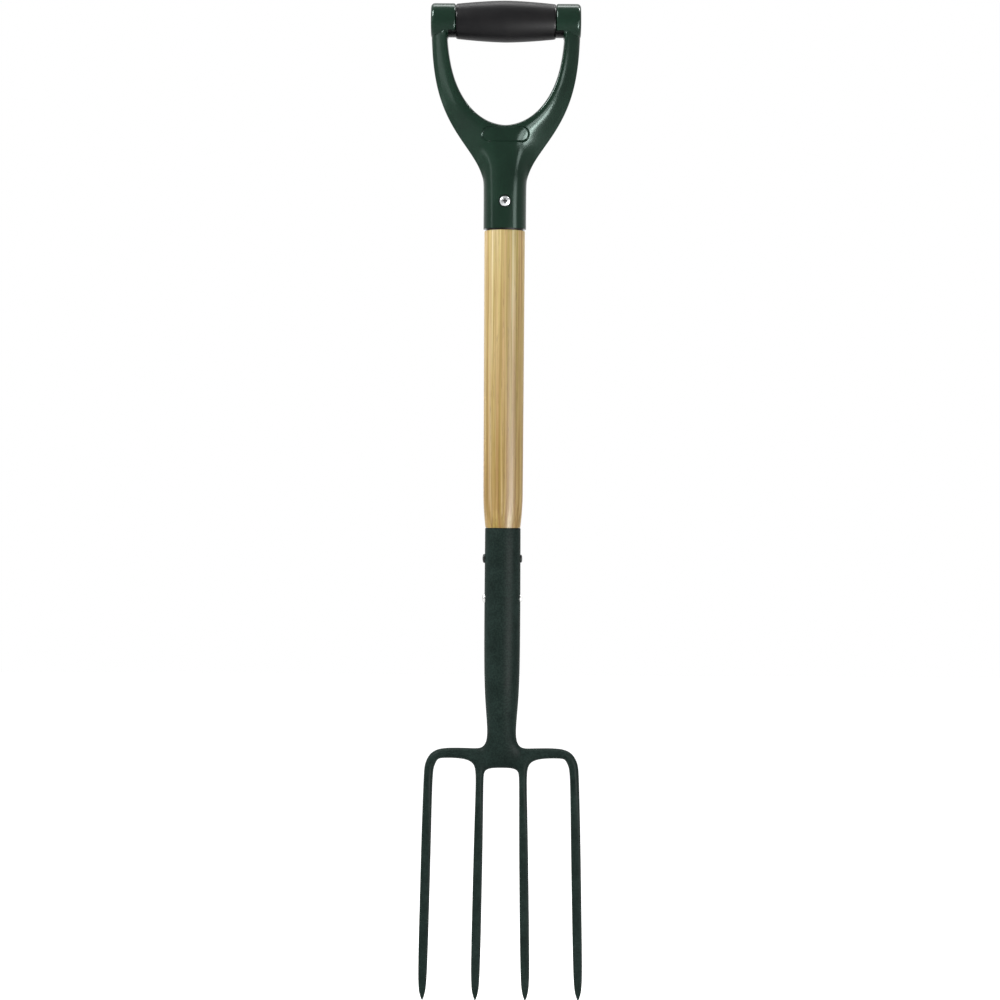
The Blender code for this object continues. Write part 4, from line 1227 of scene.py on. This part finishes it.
# Each lamp's name, place, what it points at, width, height, radiance, and whether the fork's
# colours are shaded by it, its gloss reflects it, or both
LAMPS = (
    ("broad_softbox_left", (-1.65, -0.85, 0.75), (0, 0, -0.35), 1.3, 1.3, 6.2, "shades"),
    ("tall_lamp_left", (-1.55, -0.40, -0.05), (0, 0, -0.2), 0.22, 1.0, 4.0, "gleams"),
    ("high_lamp_left", (-1.25, -0.6, 1.0), (0, 0, 0), 0.50, 0.80, 75.0, "gleams"),
    ("back_lamp_right", (0.95, 0.35, 1.15), (0, 0, 0), 0.35, 0.35, 55.0, "gleams"),
    ("low_softbox_right", (0.72, -0.90, -0.76), (0, 0, -0.1), 0.54, 0.34, 52.0, "gleams"),
    ("middle_lamp_right", (0.89, -0.69, -0.47), (0, 0, -0.1), 0.36, 0.26, 40.0, "gleams"),
    ("ferrule_lamp_right", (0.90, -0.65, -0.07), (0, 0, -0.15), 0.36, 0.22, 13.0, "gleams"),
    ("throat_lamp_right", (0.62, -1.02, -0.35), (0, 0, -0.1), 0.36, 0.24, 20.0, "gleams"),
    ("broad_softbox_right", (1.65, -1.5, -0.3), (0, 0, -0.25), 0.8, 0.8, 6.0, "shades"),
    ("overhead_softbox", (0.0, 0.5, 1.45), (0, 0, 0), 1.2, 0.5, 10.0, "both"),
)


def seen_directly(tree):
    """1 for what the camera sees, also in a reflection or through a piece, and 0 for its light."""
    rays = add_node(tree, "ShaderNodeLightPath").outputs
    directly = figure(tree, "MAXIMUM", rays["Is Camera Ray"], rays["Is Glossy Ray"])
    return figure(tree, "MAXIMUM", directly, rays["Is Transmission Ray"])


clear_selection()
bpy.ops.mesh.primitive_plane_add(size=FLOOR_SIZE, location=(0, 0, FLOOR_Z))
floor = bpy.context.object
bpy.ops.object.transform_apply(location=True, rotation=False, scale=False)
floor.name = floor.data.name = "studio_floor"
pale_floor = bpy.data.materials.new("pale_floor")
pale_floor.use_nodes = True
tree = pale_floor.node_tree
tree.nodes.clear()
matt = add_node(tree, "ShaderNodeBsdfDiffuse")
feed(tree, matt, {"Color": FLOOR_GREY})
glow = add_node(tree, "ShaderNodeEmission")
glow_strength = figure(tree, "MULTIPLY", seen_directly(tree), FLOOR_GLOW)
feed(tree, glow, {"Color": WHITE, "Strength": glow_strength})
both = add_node(tree, "ShaderNodeAddShader")
feed(tree, both, {0: matt.outputs[0], 1: glow.outputs[0]})
feed(tree, add_node(tree, "ShaderNodeOutputMaterial"), {"Surface": both.outputs[0]})
floor.data.materials.append(pale_floor)

surround = bpy.data.worlds.new("even_surround")
bpy.context.scene.world = surround
surround.use_nodes = True
tree = surround.node_tree
level = spread(tree, seen_directly(tree), (0.0, 1.0), (WORLD_LEVEL, 1.0))
feed(tree, tree.nodes["Background"], {"Color": WHITE, "Strength": level})

for name, place, target, width, height, radiance, work in LAMPS:
    clear_selection()
    bpy.ops.object.light_add(type="AREA", location=place)
    lamp = bpy.context.object
    lamp.name = lamp.data.name = name
    lamp.data.shape = "RECTANGLE"
    lamp.data.size, lamp.data.size_y = width, height
    lamp.data.energy = radiance * math.pi * width * height
    lamp.rotation_euler = (Vector(target) - Vector(place)).to_track_quat("-Z", "Y").to_euler()
    lamp.visible_camera = False
    lamp.visible_diffuse = work in ("shades", "both")
    lamp.visible_glossy = work in ("gleams", "both")


# Camera: level, in front of the middle of the fork, and rolled a third of a degree so that the
# handle leans to the right.
CAMERA_DISTANCE = 2.6
FRAME_MIDDLE_X = -2.8 * MM
FRAME_MIDDLE_Z = -422.8 * MM
FRAME_WIDTH = 924.0 * MM
ROLL = math.radians(-0.36)
SENSOR_WIDTH = 36.0

bpy.ops.object.camera_add(
    location=(FRAME_MIDDLE_X, -CAMERA_DISTANCE, FRAME_MIDDLE_Z),
    rotation=(math.pi / 2, ROLL, 0),
)
camera = bpy.context.object
camera.name = "front_camera"
camera.data.sensor_width = SENSOR_WIDTH
camera.data.lens = SENSOR_WIDTH * CAMERA_DISTANCE / FRAME_WIDTH
bpy.context.scene.camera = camera
bpy.context.scene.view_settings.view_transform = "Standard"
